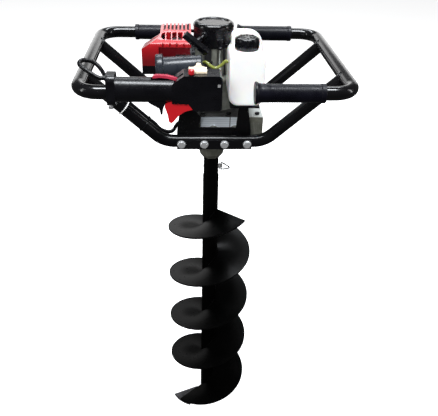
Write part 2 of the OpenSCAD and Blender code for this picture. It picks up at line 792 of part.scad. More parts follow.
module starter_housing() {
    color("#17171a") difference() {
        union() {
            bar_z(upper_z + weld_gap, starter_z - 6, starter_r);
            translate([0, 0, starter_z - 6.5]) cylinder(h = 6.5, r1 = starter_r, r2 = starter_r - 3);
            for (p = cup_screws) translate(p) bar_z(upper_z + weld_gap, upper_z + 5, 5);
            for (p = cup_screws) rotate(atan2(p[1], p[0])) box([starter_r - 3, -4, upper_z + weld_gap], [starter_r + 4, 4, upper_z + 5]);
            translate([0, 0, exit_z]) rotate(exit_a) bar_x(starter_r - 3, starter_r + 7, 6);
            box([22, -44.5, upper_z + 6], [36, -30, upper_z + 11]);
        }
        difference() {
            bar_z(upper_z - 1, starter_z - 4.5, starter_r - starter_wall);
            bar_z(upper_z + 17, starter_z, 8);
        }
        bar_z(starter_z - 2, starter_z + 1, starter_r - 10);
        translate([0, 0, exit_z]) rotate(exit_a) bar_x(starter_r - 9, starter_r + 8, rope_r + hole_gap);
        for (p = cup_screws) translate(p) bar_z(upper_z - 1, upper_z + 6, 2 + hole_gap);
        box([-16, 20, upper_z - 1], [16, starter_r + 2, upper_z + 14]);
    }
}

module starter_reel() {
    color("#2c2d31") difference() {
        bar_z(exit_z - 5, exit_z + 4.5, reel_r + 6);
        bar_z(exit_z - 6, exit_z + 6, 8 + run_gap);
        difference() {
            bar_z(exit_z - 2.5, exit_z + 2.5, reel_r + 7);
            bar_z(exit_z - 3, exit_z + 3, reel_r);
        }
    }
}

module recoil_spring() {
    turns = 5;
    n = 20 * turns;
    z0 = exit_z + 6;
    step = (reel_r - 12) / n;
    color("#85868a") {
        translate([0, 0, z0]) linear_extrude(starter_z - 5 - z0) polygon(concat(
            [for (i = [0 : n]) (10.5 + step * i) * [cos(18 * i), sin(18 * i)]],
            [for (i = [n : -1 : 0]) (11.4 + step * i) * [cos(18 * i), sin(18 * i)]]));
    }
}

stem_dir = unit(exit_at - pull_at);
stem_end = pull_at + 20 * stem_dir;

module starter_grip() {
    color("#151518") {
        translate(pull_at) rotate([0, 129, 0]) rotate_extrude() intersection() {
            union() {
                square([2 * pull_r, pull_len - 2 * pull_r], center = true);
                for (s = [-1, 1]) translate([0, s * (pull_len / 2 - pull_r)]) circle(pull_r);
            }
            translate([0, -pull_len]) square([pull_r, 2 * pull_len]);
        }
        bar_pp(pull_at, stem_end, 6.5, 4.5);
    }
}

module starter_rope() {
    color("#d6d2c4") bar_pp(stem_end + weld_gap * stem_dir, exit_at - 0.6 * stem_dir, rope_r);
}

shroud_corner = 108;

// The bevel at the left leans back as it runs to the rear
module shroud_lean(g) {
    intersection() {
        translate([-shroud_left, -shroud_front, crank_z + 32 - 1.25 * g]) rotate([-8.2, -32.4, 0])
            box([-60, -40, 0], [80, 140, 60]);
        box([-shroud_left - 20, -shroud_front - 20, crank_z - 30], [-shroud_corner + 2 + g, 80, crank_z + 90]);
    }
}

module shroud_body(g) {
    l = shroud_left - g;
    f = shroud_front - g;
    top = crank_z + shroud_up - g;
    low = crank_z - 18 - (g > 0 ? 5 : 0);
    r = g > 0 ? -shroud_right + 5 : -shroud_right;
    difference() {
        intersection() {
            on_y(-shroud_front, 54 - g) polygon([[-l, low], [-l, crank_z + 32 - g], [-l + 26, top - 7.5],
                [-l + 43, top], [r, top], [r, low]]);
            on_x(-l, r) polygon([[-f, low], [-f, crank_z + 42 - g], [-f + 8, crank_z + 47 - g], [-3, top],
                [54 - g, top], [54 - g, low]]);
        }
        shroud_lean(g);
    }
}

shroud_posts = [-60, -91];

module engine_shroud() {
    top = crank_z + shroud_up;
    step = (shroud_left - 43 - shroud_right - 6) / (slot_n - 1);
    pane = (shroud_left - 33 - shroud_right - 10) / window_n;
    color("#d8121c") for (x = shroud_posts)
        box([x - 4, -9, crank_z + fin_size / 2 + weld_gap], [x + 4, -3, top - 3]);
    color("#d8121c") {
        box([-shroud_corner - 3, -shroud_front + 6, crank_z - 14], [-75.5, -shroud_front + 8, crank_z + 44.5]);
        box([-76, -shroud_front + 6, crank_z + 20], [-shroud_right - 2, -shroud_front + 8, crank_z + 44.5]);
    }
    color("#d8121c") difference() {
        shroud_body(0);
        shroud_body(shroud_wall);
        for (i = [0 : slot_n - 1]) translate([-shroud_right - 5 - i * step, 0, 0])
            box([-2.2, 3, top - 10], [2.2, 60, top + 5]);
        for (i = [0 : window_n - 1]) translate([-shroud_right - 8 - (i + 0.5) * pane, -25, crank_z + 51])
            rotate([13, 0, 0]) box([-pane / 2 + 1.5, -15, -9], [pane / 2 - 1.5, 15, 12]);
        box([-shroud_corner, -60, crank_z - 30], [-40, -shroud_front + shroud_wall + 0.5, crank_z + 35.5]);
        box([-125, 30, crank_z - 30], [-30, 60, crank_z + 26]);
    }
}

carb_y0 = fin_size / 2 + 1;
carb_y1 = carb_y0 + 46;

module carburettor() {
    color("#8e9092") difference() {
        union() {
            on_y(-carb_y0 - 10, -carb_y0) rrect([-68, crank_z - 14], [-52, crank_z + 14], 5);
            on_y(-carb_y1 + 8, -carb_y0 - 9.5) rrect([-72, crank_z - 16], [-48, crank_z + 12], 4);
            on_y(-carb_y1 - 0.5, -carb_y1 + 8.5) rrect([-74, crank_z - 13], [-46, crank_z + 13], 6);
            translate([-60, -carb_y1 + 20, 0]) bar_z(crank_z - 26, crank_z - 15, 10);
            translate([-60, -carb_y1 + 20, 0]) bar_z(crank_z + 11, crank_z + 14, 4);
            translate([0, -carb_y1 + 16, crank_z + 4]) bar_x(-49, -40, 2.2);
        }
        translate([-60, 0, crank_z]) bar_y(-carb_y1 - 2, 0, 6.5);
        translate([-60, -carb_y1 + 20, 0]) bar_z(crank_z + 9, crank_z + 15, 2 + run_gap);
    }
}

module choke_lever() {
    color("#1b1b1e") {
        translate([-60, -carb_y1 + 20, 0]) bar_z(crank_z + 9.5, crank_z + 16, 2);
        translate([-60, -carb_y1 + 20, crank_z + 14.5]) rotate(200) box([-2, -3, 0], [18, 3, 2.5]);
        translate([-60, -carb_y1 + 20, crank_z + 14.5]) bar_z(-0.3, 3, 5);
    }
}

filter_y = carb_y1 + filter_r + 1;
filter_z = crank_z + 13;

module air_cleaner() {
    color("#3d4046") difference() {
        union() {
            translate([-60, -filter_y, filter_z]) rotate([0, -filter_tilt, 0]) {
                bar_x(36 - filter_len, 36, filter_r);
                bar_x(36 - filter_len - filter_flange_w, 36.5 - filter_len, filter_flange_r);
            }
            on_y(-filter_y, -carb_y1 - 0.5 - weld_gap) rrect([-74, crank_z - 8], [-46, crank_z + 28], 6);
        }
        translate([-60, -filter_y, filter_z]) rotate([0, -filter_tilt, 0]) bar_x(38 - filter_len, 33, filter_r - 3);
        translate([-60, 0, crank_z]) bar_y(-filter_y, -carb_y1 + 1, 6.5);
    }
}

module muffler() {
    y0 = fin_size / 2 + 1;
    color("#1d1d1f") difference() {
        union() {
            on_y(y0 + weld_gap, y0 + 14) rrect([-68, crank_z - 14], [-52, crank_z + 14], 5);
            on_y(y0 + 13, y0 + 60) rrect([-108, crank_z - 36], [-46, crank_z + 24], 9);
            translate([0, y0 + 40, crank_z - 24]) bar_x(-120, -106, 7);
        }
        on_y(y0 + 15, y0 + 58) rrect([-106, crank_z - 34], [-48, crank_z + 22], 7);
        translate([-60, 0, crank_z]) bar_y(0, y0 + 20, 6.5);
        translate([0, y0 + 40, crank_z - 24]) bar_x(-122, -100, 5.5);
    }
}

// Fuel tank

filler_at = [tank_left + 33, -tank_front + 30, 0];
shoulder_z = tank_z + tank_shoulder;
hump_z = tank_z + tank_hump;

module tank_body(g) {
    l = tank_left + g;
    r = tank_right - g;
    on_y(-tank_front + g, -70 + g) rrect([l, tank_z + g], [r, shoulder_z - g], 16 - g);
    on_y(-72 + g, -46 - g) {
        rrect([l, tank_z + g], [r, shoulder_z - g], 16 - g);
        hull() {
            translate([tank_left + 20, hump_z - 14]) circle(14 - g);
            translate([tank_right - 28, hump_z - 28]) circle(28 - g);
            translate([tank_left + 6 + g, shoulder_z - 40]) square([r - l - 6, 14]);
        }
    }
    on_y(-48, 40 - g) rrect([58 + g, tank_z + g], [r, shoulder_z - 6 - g], 8 - g);
}

module fuel_tank() {
    color("#eceae0") difference() {
        union() {
            tank_body(0);
            translate(filler_at) bar_z(shoulder_z - 2, shoulder_z + cap_h - 6, filler_r);
        }
        tank_body(tank_wall);
        translate(filler_at) bar_z(shoulder_z - 6, shoulder_z + cap_h, filler_r - 3);
    }
}

module fuel_cap() {
    color("#121214") translate(filler_at) difference() {
        union() {
            bar_z(shoulder_z + 1, shoulder_z + cap_h, cap_r - 1);
            for (a = [0 : 30 : 330]) rotate(a) translate([cap_r - 2, 0, 0])
                bar_z(shoulder_z + 3, shoulder_z + cap_h - 2, 2);
        }
        bar_z(shoulder_z, shoulder_z + cap_h - 5, filler_r + run_gap);
    }
}

module fuel_hose() {
    color("#c9cf62") hose(spline([[tank_left - weld_gap, -92, crank_z + 22], [tank_left - 3, -92, crank_z + 22],
        [tank_left - 6, -92, crank_z + 22],
        [11, -92, crank_z + 14], [1, -92, crank_z + 9], [-9, -91, crank_z + 13], [-17, -86, crank_z + 18],
        [-25, -75, crank_z + 13], [-33, -carb_y1 + 16, crank_z + 4], [-37, -carb_y1 + 16, crank_z + 4],
        [-40 + weld_gap, -carb_y1 + 16, crank_z + 4]], 4),
        hose_d / 2, 8);
}

module tank_bracket() {
    z0 = bar_z + ear_up;
    color("#1a1a1c") {
        box([53, -104, z0], [69, 104, z0 + 3]);
        box([tank_left + 5, -104, z0], [tank_right - 4, -70, z0 + 3]);
        for (p = [[tank_left + 18, -96], [tank_right - 20, -96], [65, 30]])
            translate(p) bar_z(z0 + 2.5, tank_z - weld_gap, 4);
    }
}

// Handle frame

module tube_2d() {
    circle(tube_r);
}

module loop_path(r, in_front, in_rear) {
    b = loop_bend;
    translate([0, -frame_y, handle_z]) bar_x(in_front, frame_x - b, r);
    translate([0, frame_y, handle_z]) bar_x(in_rear, frame_x - b, r);
    translate([frame_x, 0, handle_z]) bar_y(-frame_y + b, frame_y - b, r);
    translate([frame_x - b, frame_y - b, handle_z]) rotate_extrude(angle = 90) translate([b, 0]) circle(r);
    translate([frame_x - b, -frame_y + b, handle_z]) rotate([0, 0, -90]) rotate_extrude(angle = 90)
        translate([b, 0]) circle(r);
}

module loop(in_front, in_rear) {
    difference() {
        loop_path(tube_r, in_front, in_rear);
        loop_path(tube_r - tube_wall, in_front - 1, in_rear - 1);
    }
}

tube_stop = 102;

module left_handle_loop() {
    color("#141416") mirror([1, 0, 0]) loop(tube_stop, grip_left_in + 6);
}

module right_handle_loop() {
    color("#141416") loop(grip_in + 6, grip_in + 6);
}

module support_path(r, more) {
    x0 = support_x - diag_tan;
    bar_x(-x0 - bend_lap, x0 + bend_lap, r);
    for (s = [0, 1]) mirror([s, 0, 0]) translate([x0, 0, support_bend]) rotate([90, 0, 0]) {
        rotate([0, 0, -90]) rotate_extrude(angle = diag_a) translate([support_bend, 0]) circle(r + bend_swell);
        rotate([0, 0, diag_a - 90]) translate([support_bend, -bend_lap, 0]) rotate([-90, 0, 0])
            cylinder(h = diag_len + bend_lap + more, r = r);
    }
}

module support_tube() {
    translate([0, -support_y, bar_z]) difference() {
        support_path(tube_r, 0);
        support_path(tube_r - tube_wall, 8);
        for (s = [-1, 1]) translate([s * frame_x, 0, handle_rise]) bar_y(-40, 40, tube_r + weld_gap);
        for (x = bolt_xs) translate([x, 0, 0]) bar_y(-tube_d, tube_d, bolt_r + hole_gap);
    }
}

bolt_xs = [-bolt_out, -bolt_in, bolt_in, bolt_out];

module front_support_tube() {
    color("#141416") support_tube();
}

module rear_support_tube() {
    color("#141416") mirror([0, 1, 0]) support_tube();
}

plate_y = -support_y + tube_r;

module bracket() {
    color("#161618") difference() {
        union() {
            on_y(plate_y + weld_gap, plate_y + bracket_t) {
                polygon([[-bracket_x, bar_z - 13], [bracket_x, bar_z - 13], [bracket_x, bar_z + 15],
                    [67, bar_z + ear_up], [48, bar_z + ear_up], [44, bar_z + 23], [-31, bar_z + 23], [-26, bar_z + 44],
                    [-42, bar_z + ear_up], [-67, bar_z + ear_up], [-bracket_x, bar_z + 15]]);
            }
            for (s = [0, 1]) mirror([s, 0, 0])
                box([48, plate_y + weld_gap, bar_z + ear_up - bracket_t], [67, plate_y + 18, bar_z + ear_up]);
        }
        for (x = bolt_xs) translate([x, 0, bar_z]) bar_y(plate_y - 5, plate_y + 10, bolt_r + hole_gap);
        for (x = boss_x) translate([x, plate_y, boss_z]) rotate([-90, 0, 0]) {
            cylinder(h = 10, r = 3 + hole_gap);
            cylinder(h = 3.1, r1 = 6.4, r2 = 3.3);
        }
    }
}

module front_bracket() {
    bracket();
}

module rear_bracket() {
    mirror([0, 1, 0]) bracket();
}

strip_y = support_y + tube_r + weld_gap;

module clamp_strips() {
    color("#161618") for (s = [0, 1]) mirror([0, s, 0]) difference() {
        box([-bracket_x, -strip_y - bracket_t, bar_z - strip_h / 2 - 3], [bracket_x, -strip_y, bar_z + strip_h / 2]);
        for (x = bolt_xs) translate([x, 0, bar_z]) bar_y(-strip_y - 10, -strip_y + 5, bolt_r + hole_gap);
    }
}

module frame_bolts() {
    y0 = -strip_y - bracket_t;
    color("#c3c5c8") for (s = [0, 1]) mirror([0, s, 0]) for (x = bolt_xs)
        translate([x, y0 - weld_gap, bar_z]) rotate([90, 0, 0]) {
            cylinder(h = 1.8, r = 8.3);
            cylinder(h = 6.5, r = 7, $fn = 6);
            translate([0, 0, y0 - plate_y - bracket_t - 10]) cylinder(h = plate_y + bracket_t + 10.5 - y0, r = bolt_r);
        }
}

module frame_nuts() {
    color("#b5b7ba") for (s = [0, 1]) mirror([0, s, 0]) for (x = bolt_xs)
        translate([x, plate_y + bracket_t + weld_gap, bar_z]) rotate([-90, 0, 0]) difference() {
            cylinder(h = 6.5, r = 7, $fn = 6);
            translate([0, 0, -1]) cylinder(h = 9, r = bolt_r + seat_gap);
        }
}

module grip(x0) {
    difference() {
        union() {
            bar_x(x0, x0 + grip_len, grip_r);
            bar_x(x0, x0 + 4, grip_flange_r);
            for (i = [0 : 5]) bar_x(x0 + grip_len - 5 - 7 * i, x0 + grip_len - 2 - 7 * i, grip_r + 0.8);
        }
        bar_x(x0 + 5, x0 + grip_len + 1, tube_r + seat_gap);
    }
}

module front_right_grip() {
    color("#101012") translate([0, -frame_y, handle_z]) grip(grip_in);
}

module rear_right_grip() {
    color("#101012") translate([0, frame_y, handle_z]) grip(grip_in);
}

module rear_left_grip() {
    color("#101012") translate([0, frame_y, handle_z]) mirror([1, 0, 0]) grip(grip_left_in);
}

// Throttle handle

trigger_at = [-50, -frame_y, handle_z - 9];
lock_at = [-66, -frame_y, handle_z + 20];
grip_end = -76;
switch_z = handle_z + hand_up;

module case_body(g) {
    y0 = -hand_front + g;
    y1 = -hand_rear - g;
    on_x(-hand_left + g, -177) rrect([y0, handle_z - 22], [y1, handle_z + 33], 13);
    on_x(-178, grip_end) rrect([y0, handle_z - 17.5 + g], [y1, handle_z + 25.5 - g], 20 - g);
    on_y(y0, y1) polygon([[grip_end - 4, handle_z - 9], [grip_end - 4, handle_z - 14 + g], [-52, handle_z - 15 + g],
        [-41, handle_z - hand_down + g], [hand_right - 4, handle_z - hand_down + g],
        [hand_right - g, handle_z - hand_down + 4], [hand_right - g, handle_z + hand_up - 4],
        [hand_right - 4, handle_z + hand_up - g], [-59, handle_z + hand_up - g], [-73, handle_z + 25 - g],
        [grip_end - 4, handle_z + 17]]);
    on_y(y0 + 7, y1 - 7) polygon([[-122, handle_z - 12], [-120, handle_z - 16], [-102.5, handle_z - 26 + g],
        [-100, handle_z - 37], [-97, handle_z - 37], [-95.5, handle_z - 26 + g], [-90, handle_z - 12]]);
}

module case_hollow() {
    y0 = -hand_front + hand_wall;
    y1 = -hand_rear - hand_wall;
    translate([0, -frame_y, handle_z]) bar_x(-hand_left - 1, -tube_stop + 1, tube_r + seat_gap);
    on_y(y0, y1) polygon([[-tube_stop, handle_z - 6], [-82, handle_z - 6], [-70, handle_z - 8],
        [-48, handle_z - 12], [-36, handle_z - hand_down + hand_wall],
        [hand_right - hand_wall, handle_z - hand_down + hand_wall],
        [hand_right - hand_wall, handle_z + hand_up - hand_wall],
        [-56, handle_z + hand_up - hand_wall], [-72, handle_z + 16], [-tube_stop, handle_z + 15]]);
    box([-98.4, -frame_y - trigger_t / 2 - 0.6, handle_z - 40], [-40, -frame_y + trigger_t / 2 + 0.6, handle_z]);
    box([-116, -frame_y - lock_w / 2 - 0.6, handle_z + 15], [-60, -frame_y + lock_w / 2 + 0.6, handle_z + 45]);
    for (p = [trigger_at, lock_at]) translate([p[0], 0, p[2]])
        bar_y(-frame_y - 14, -frame_y + 14, pivot_d / 2 + seat_gap);
    for (p = case_screws) translate([p[0], 0, p[1]]) {
        bar_y(-hand_front - 1, -hand_front + 2, 3.6);
        bar_y(-hand_front - 1, -frame_y + 8, 1.5 + hole_gap);
    }
    translate([-186, -frame_y - 10, 0]) bar_z(handle_z - 30, handle_z - 14, 2.5 + hole_gap);
}

// Places of the case screws in X and Z
case_screws = [[hand_right - 6, handle_z + 28], [hand_right - 5.5, handle_z + 18], [hand_right - 13.5, handle_z - 3],
    [-185, handle_z + 20]];

module pin_bosses() {
    for (p = [trigger_at, lock_at]) translate([p[0], 0, p[2]]) difference() {
        union() {
            bar_y(-hand_front + 1, -frame_y - trigger_t / 2 - 0.6, pivot_d / 2 + 2.5);
            bar_y(-frame_y + trigger_t / 2 + 0.6, -hand_rear - 1, pivot_d / 2 + 2.5);
        }
        bar_y(-frame_y - 14, -frame_y + 14, pivot_d / 2 + seat_gap);
    }
}

module handle_case() {
    difference() {
        case_body(0);
        case_hollow();
    }
    intersection() {
        pin_bosses();
        case_body(1);
    }
}

module throttle_case_front() {
    color("#151517") intersection() {
        handle_case();
        box([-300, -300, handle_z - 60], [100, -frame_y, handle_z + 80]);
    }
}

module throttle_case_rear() {
    color("#151517") intersection() {
        handle_case();
        box([-300, -frame_y, handle_z - 60], [100, 0, handle_z + 80]);
    }
}

module handle_fasteners() {
    color("#b9bbbe") {
        for (p = case_screws) translate([p[0], -hand_front + 2 - weld_gap, p[1]]) rotate([90, 0, 0])
            screw(3, 20, 3, 1.6, 0);
        for (p = [trigger_at, lock_at]) translate([p[0], 0, p[2]])
            bar_y(-frame_y - 13.5, -frame_y + 13.5, pivot_d / 2);
        translate([-186, -frame_y - 10, handle_z - 22 - weld_gap]) rotate([180, 0, 0]) screw(5, 7, 4.5, 4, 6);
    }
}

module throttle_trigger() {
    x = trigger_at[0];
    z = trigger_at[2];
    color("#c5161d") difference() {
        union() {
            on_y(-frame_y - trigger_t / 2, -frame_y + trigger_t / 2) polygon([[x - 42, z - 9], [x - 43, z - 15],
                [x - 38, z - 30], [x - 36, z - 43], [x - 32, z - 46], [x - 28, z - 43], [x - 20, z - 33],
                [x - 8, z - 24], [x + 4, z - 20.5], [x + 8.5, z - 19], [x + 8.5, z - 15], [x + 4, z - 3],
                [x, z + 4], [x - 8, z + 3]]);
            translate([x, 0, z]) bar_y(-frame_y - trigger_t / 2, -frame_y + trigger_t / 2, 5.5);
        }
        translate([x, 0, z]) bar_y(-frame_y - 20, -frame_y + 20, pivot_d / 2 + run_gap);
    }
}

module lockout_lever() {
    x = lock_at[0];
    z = lock_at[2];
    color("#d2525a") difference() {
        union() {
            on_y(-frame_y - lock_w / 2, -frame_y + lock_w / 2) polygon([[x, z + 4], [x - 8, z + 8],
                [x - 22, z + 11.5], [x - 36, z + 12.5], [x - 45, z + 11.5], [x - 47.5, z + 8.5], [x - 46, z + 6],
                [x - 36, z + 7.5], [x - 22, z + 6.5], [x - 8, z + 2.5], [x, z - 4]]);
            translate([x, 0, z]) bar_y(-frame_y - lock_w / 2, -frame_y + lock_w / 2, 4.5);
        }
        translate([x, 0, z]) bar_y(-frame_y - 20, -frame_y + 20, pivot_d / 2 + run_gap);
    }
}

module switch_body() {
    color("#d9d2bd") {
        box([-51, -hand_rear - 28, switch_z + weld_gap], [-19, -hand_rear - 14, switch_z + 5]);
        on_y(-hand_rear - 20, -hand_rear - 14)
            polygon([[-46, switch_z + 4], [-34.5, switch_z + 15], [-30.5, switch_z + 15], [-21, switch_z + 4]]);
    }
}

module switch_slider() {
    y0 = -hand_rear - 33;
    color("#c5161d") {
        box([-48.5, y0, switch_z + 5.1], [-41.5, y0 + 11, switch_z + 7]);
        translate([-45, y0, 0]) bar_z(switch_z + 0.8, switch_z + 8.5, 3.8);
    }
}

// Point beside the left support tube's upper side, at distance x from the middle
function on_diag(x, off) = [-x + off * cos(tie_turn) * sin(diag_a), -support_y + off * sin(tie_turn),
    bar_z + (x - support_x) * tan(diag_a) + off * cos(tie_turn) * cos(diag_a)];

module throttle_cable() {
    color("#161618") hose(spline([[-hand_left - weld_gap, -190, handle_z + 22],
        [-hand_left - 6, -190, handle_z + 22], [-hand_left - 13, -190, handle_z + 22], [-222, -184, handle_z + 30], [-240, -170, handle_z + 39], [-236, -154, handle_z + 42],
        [-218, -148, handle_z + 36], [-204, -154, handle_z + 22], [-196, -154, handle_z],
        [-195, -132, handle_z - 14], [-191, -115, handle_z - 21], on_diag(184, tie_off + 0.6), on_diag(176, tie_off),
        on_diag(168, tie_off), on_diag(160, tie_off), on_diag(140, tie_off), on_diag(126, tie_off + 0.5), [-108, -96, bar_z + 20], [-94, -94.5, bar_z + 13],
        [-82, -91, bar_z + 14], [-74, -86, bar_z + 25], [-62, -84, bar_z + 34], [-49, -84, bar_z + 42],
        [-40, -83, bar_z + 54], [-41, -80, bar_z + 70], [-56, -76, crank_z - 50], [-82, -71, crank_z - 44],
        [-104, -66, crank_z - 32], [-112, -63, crank_z - 18], [-104, -62, crank_z - 7], [-92, -62, crank_z - 5],
        [-80, -62, crank_z - 5],
        [-76, -62, crank_z - 5], [-72 - weld_gap, -62, crank_z - 5]], 4), cable_r, 10);
}

module cable_ties() {
    color("#e6e6e2") for (x = [176, 138]) translate(on_diag(x, 0)) rotate([0, diag_a + 90, 0])
        rotate([0, 0, 180 - tie_turn]) linear_extrude(2) difference() {
            hull() {
                circle(tube_r + 1.6);
                translate([tie_off, 0]) circle(cable_r + 1.9);
            }
            hull() {
                circle(tube_r + 0.2);
                translate([tie_off, 0]) circle(cable_r + 0.5);
            }
        }
}

module engine_screws() {
    color("#bcbec1") {
        for (p = plate_screws) translate([p[0], p[1], plate_z + 3 + weld_gap]) screw(6, plate_t + 14, 5, 4);
        for (p = bell_screws) translate([p[0], p[1], bell_z + 6 + weld_gap]) screw(5, 11, 4, 4);
        for (p = cup_screws) translate([p[0], p[1], upper_z + 5 + weld_gap]) screw(4, 14, 3.5, 3, 0);
        for (s = [0, 1]) mirror([0, s, 0]) for (x = boss_x) translate([x, plate_y + 0.1, boss_z]) rotate([-90, 0, 0]) {
            cylinder(h = 2.9, r1 = 6, r2 = 3);
            cylinder(h = 13, r = 3);
        }
    }
}

left_handle_loop();
right_handle_loop();
front_support_tube();
rear_support_tube();
front_bracket();
rear_bracket();
clamp_strips();
frame_bolts();
frame_nuts();
front_right_grip();
rear_left_grip();
rear_right_grip();
throttle_case_front();
throttle_case_rear();
handle_fasteners();
throttle_trigger();
lockout_lever();
switch_body();
switch_slider();
throttle_cable();
cable_ties();
crankcase_lower();
crankcase_upper();
ball_bearings();
crankshaft();
connecting_rod();
piston();
cylinder_node();  // cylinder
spark_plug();
plug_lead();
ignition_coil();
flywheel();
starter_housing();
starter_reel();
recoil_spring();
starter_grip();
starter_rope();
engine_shroud();
carburettor();
choke_lever();
air_cleaner();
muffler();
fuel_tank();
fuel_cap();
fuel_hose();
tank_bracket();
clutch_housing();
clutch_rotor();
clutch_shoe_a();
clutch_shoe_b();
clutch_drum();
gearbox_case();
idler_gear();
output_shaft();
auger_tube();
auger_flight();
cutting_blade();
engine_screws();
hitch_pin();
pin_ring();
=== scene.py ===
# %% [markdown]
# # An earth auger, dressed in Blender
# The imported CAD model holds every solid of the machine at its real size, in metres, with the bit's
# point at the origin. This lesson keeps those solids as a fixed frame and adds what CAD leaves out:
# soft edges, ribs, weld beads, cords and finishes. Nothing that CAD placed is moved.

# %% Load the frame
import json
import math

import bmesh
import bpy
from mathutils import Matrix, Vector

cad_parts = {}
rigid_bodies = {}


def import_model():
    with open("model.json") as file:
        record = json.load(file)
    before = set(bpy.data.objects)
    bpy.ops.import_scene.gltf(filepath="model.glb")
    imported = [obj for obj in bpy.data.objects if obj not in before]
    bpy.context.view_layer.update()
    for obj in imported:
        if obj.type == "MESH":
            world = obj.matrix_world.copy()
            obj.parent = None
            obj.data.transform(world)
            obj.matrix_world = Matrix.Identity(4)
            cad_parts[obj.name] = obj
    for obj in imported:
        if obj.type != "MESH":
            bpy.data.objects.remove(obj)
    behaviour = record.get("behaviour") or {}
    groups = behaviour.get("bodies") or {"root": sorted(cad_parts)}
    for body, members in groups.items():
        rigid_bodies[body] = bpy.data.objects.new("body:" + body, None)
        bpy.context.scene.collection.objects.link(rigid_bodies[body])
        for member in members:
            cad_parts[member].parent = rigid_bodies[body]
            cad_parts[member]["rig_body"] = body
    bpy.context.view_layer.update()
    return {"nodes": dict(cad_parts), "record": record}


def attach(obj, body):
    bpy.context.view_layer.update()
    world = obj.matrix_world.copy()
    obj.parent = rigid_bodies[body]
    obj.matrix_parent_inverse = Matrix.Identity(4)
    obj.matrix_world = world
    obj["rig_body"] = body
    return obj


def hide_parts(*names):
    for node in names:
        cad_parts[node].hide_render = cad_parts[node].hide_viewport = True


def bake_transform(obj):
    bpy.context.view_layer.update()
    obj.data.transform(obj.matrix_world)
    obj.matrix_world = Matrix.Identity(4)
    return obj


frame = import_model()
cad_nodes = frame["nodes"]
MM = 0.001


def linked(name, data):
    """A new object in the scene, made from its data."""
    made = bpy.data.objects.new(name, data)
    bpy.context.scene.collection.objects.link(made)
    return made


# %% [markdown]
# ## Camera
# The camera stands where the photographer's did: a little left of the middle, above the handles and
# looking down by about 31 degrees. Its place was fitted to points whose real positions are known.
# The turn is built from three unit vectors, because that keeps the small roll easy to read.

# %% Camera
PHOTO_WIDTH = 438
FOCAL_PIXELS = 579.467
SENSOR_MM = 36.0
eye = Vector((-0.054618, -1.170143, 1.378283))
pitch = math.radians(31.392)
yaw = math.radians(-3.692)
roll = math.radians(1.62)

ahead = Vector((-math.sin(yaw) * math.cos(pitch), math.cos(yaw) * math.cos(pitch), -math.sin(pitch)))
level = Vector((math.cos(yaw), math.sin(yaw), 0))
right = level * math.cos(roll) + level.cross(ahead) * math.sin(roll)
above = right.cross(ahead)

camera_data = bpy.data.cameras.new("camera")
camera_data.sensor_width = SENSOR_MM
camera_data.lens = SENSOR_MM * FOCAL_PIXELS / PHOTO_WIDTH
camera_data.clip_start = 0.05
camera_data.clip_end = 60
camera = linked("camera", camera_data)
turn = Matrix((right, above, -ahead)).transposed()
camera.matrix_world = Matrix.Translation(eye) @ turn.to_4x4()
bpy.context.scene.camera = camera
print("lens:", round(camera_data.lens, 2), "mm")

# %% [markdown]
# ## Shader maths as Python
# A material is a tree of nodes. Writing each Math node by hand hides the idea, so a small class wraps
# an output socket and lets Python's own operators add the nodes. `1 - mask` then reads as it should.
# `band` and `near` turn a position into a mask, which is how one material gets several skins.

# %% Shader helpers
class Wire:
    """A node's output; arithmetic on it adds Math nodes."""

    def __init__(self, finish, socket):
        self.finish = finish
        self.socket = socket

    def __add__(self, other):
        return self.finish.math("ADD", self, other)

    def __mul__(self, other):
        return self.finish.math("MULTIPLY", self, other)

    def __sub__(self, other):
        return self.finish.math("SUBTRACT", self, other)

    def __rsub__(self, other):
        return self.finish.math("SUBTRACT", other, self)

    __radd__ = __add__
    __rmul__ = __mul__


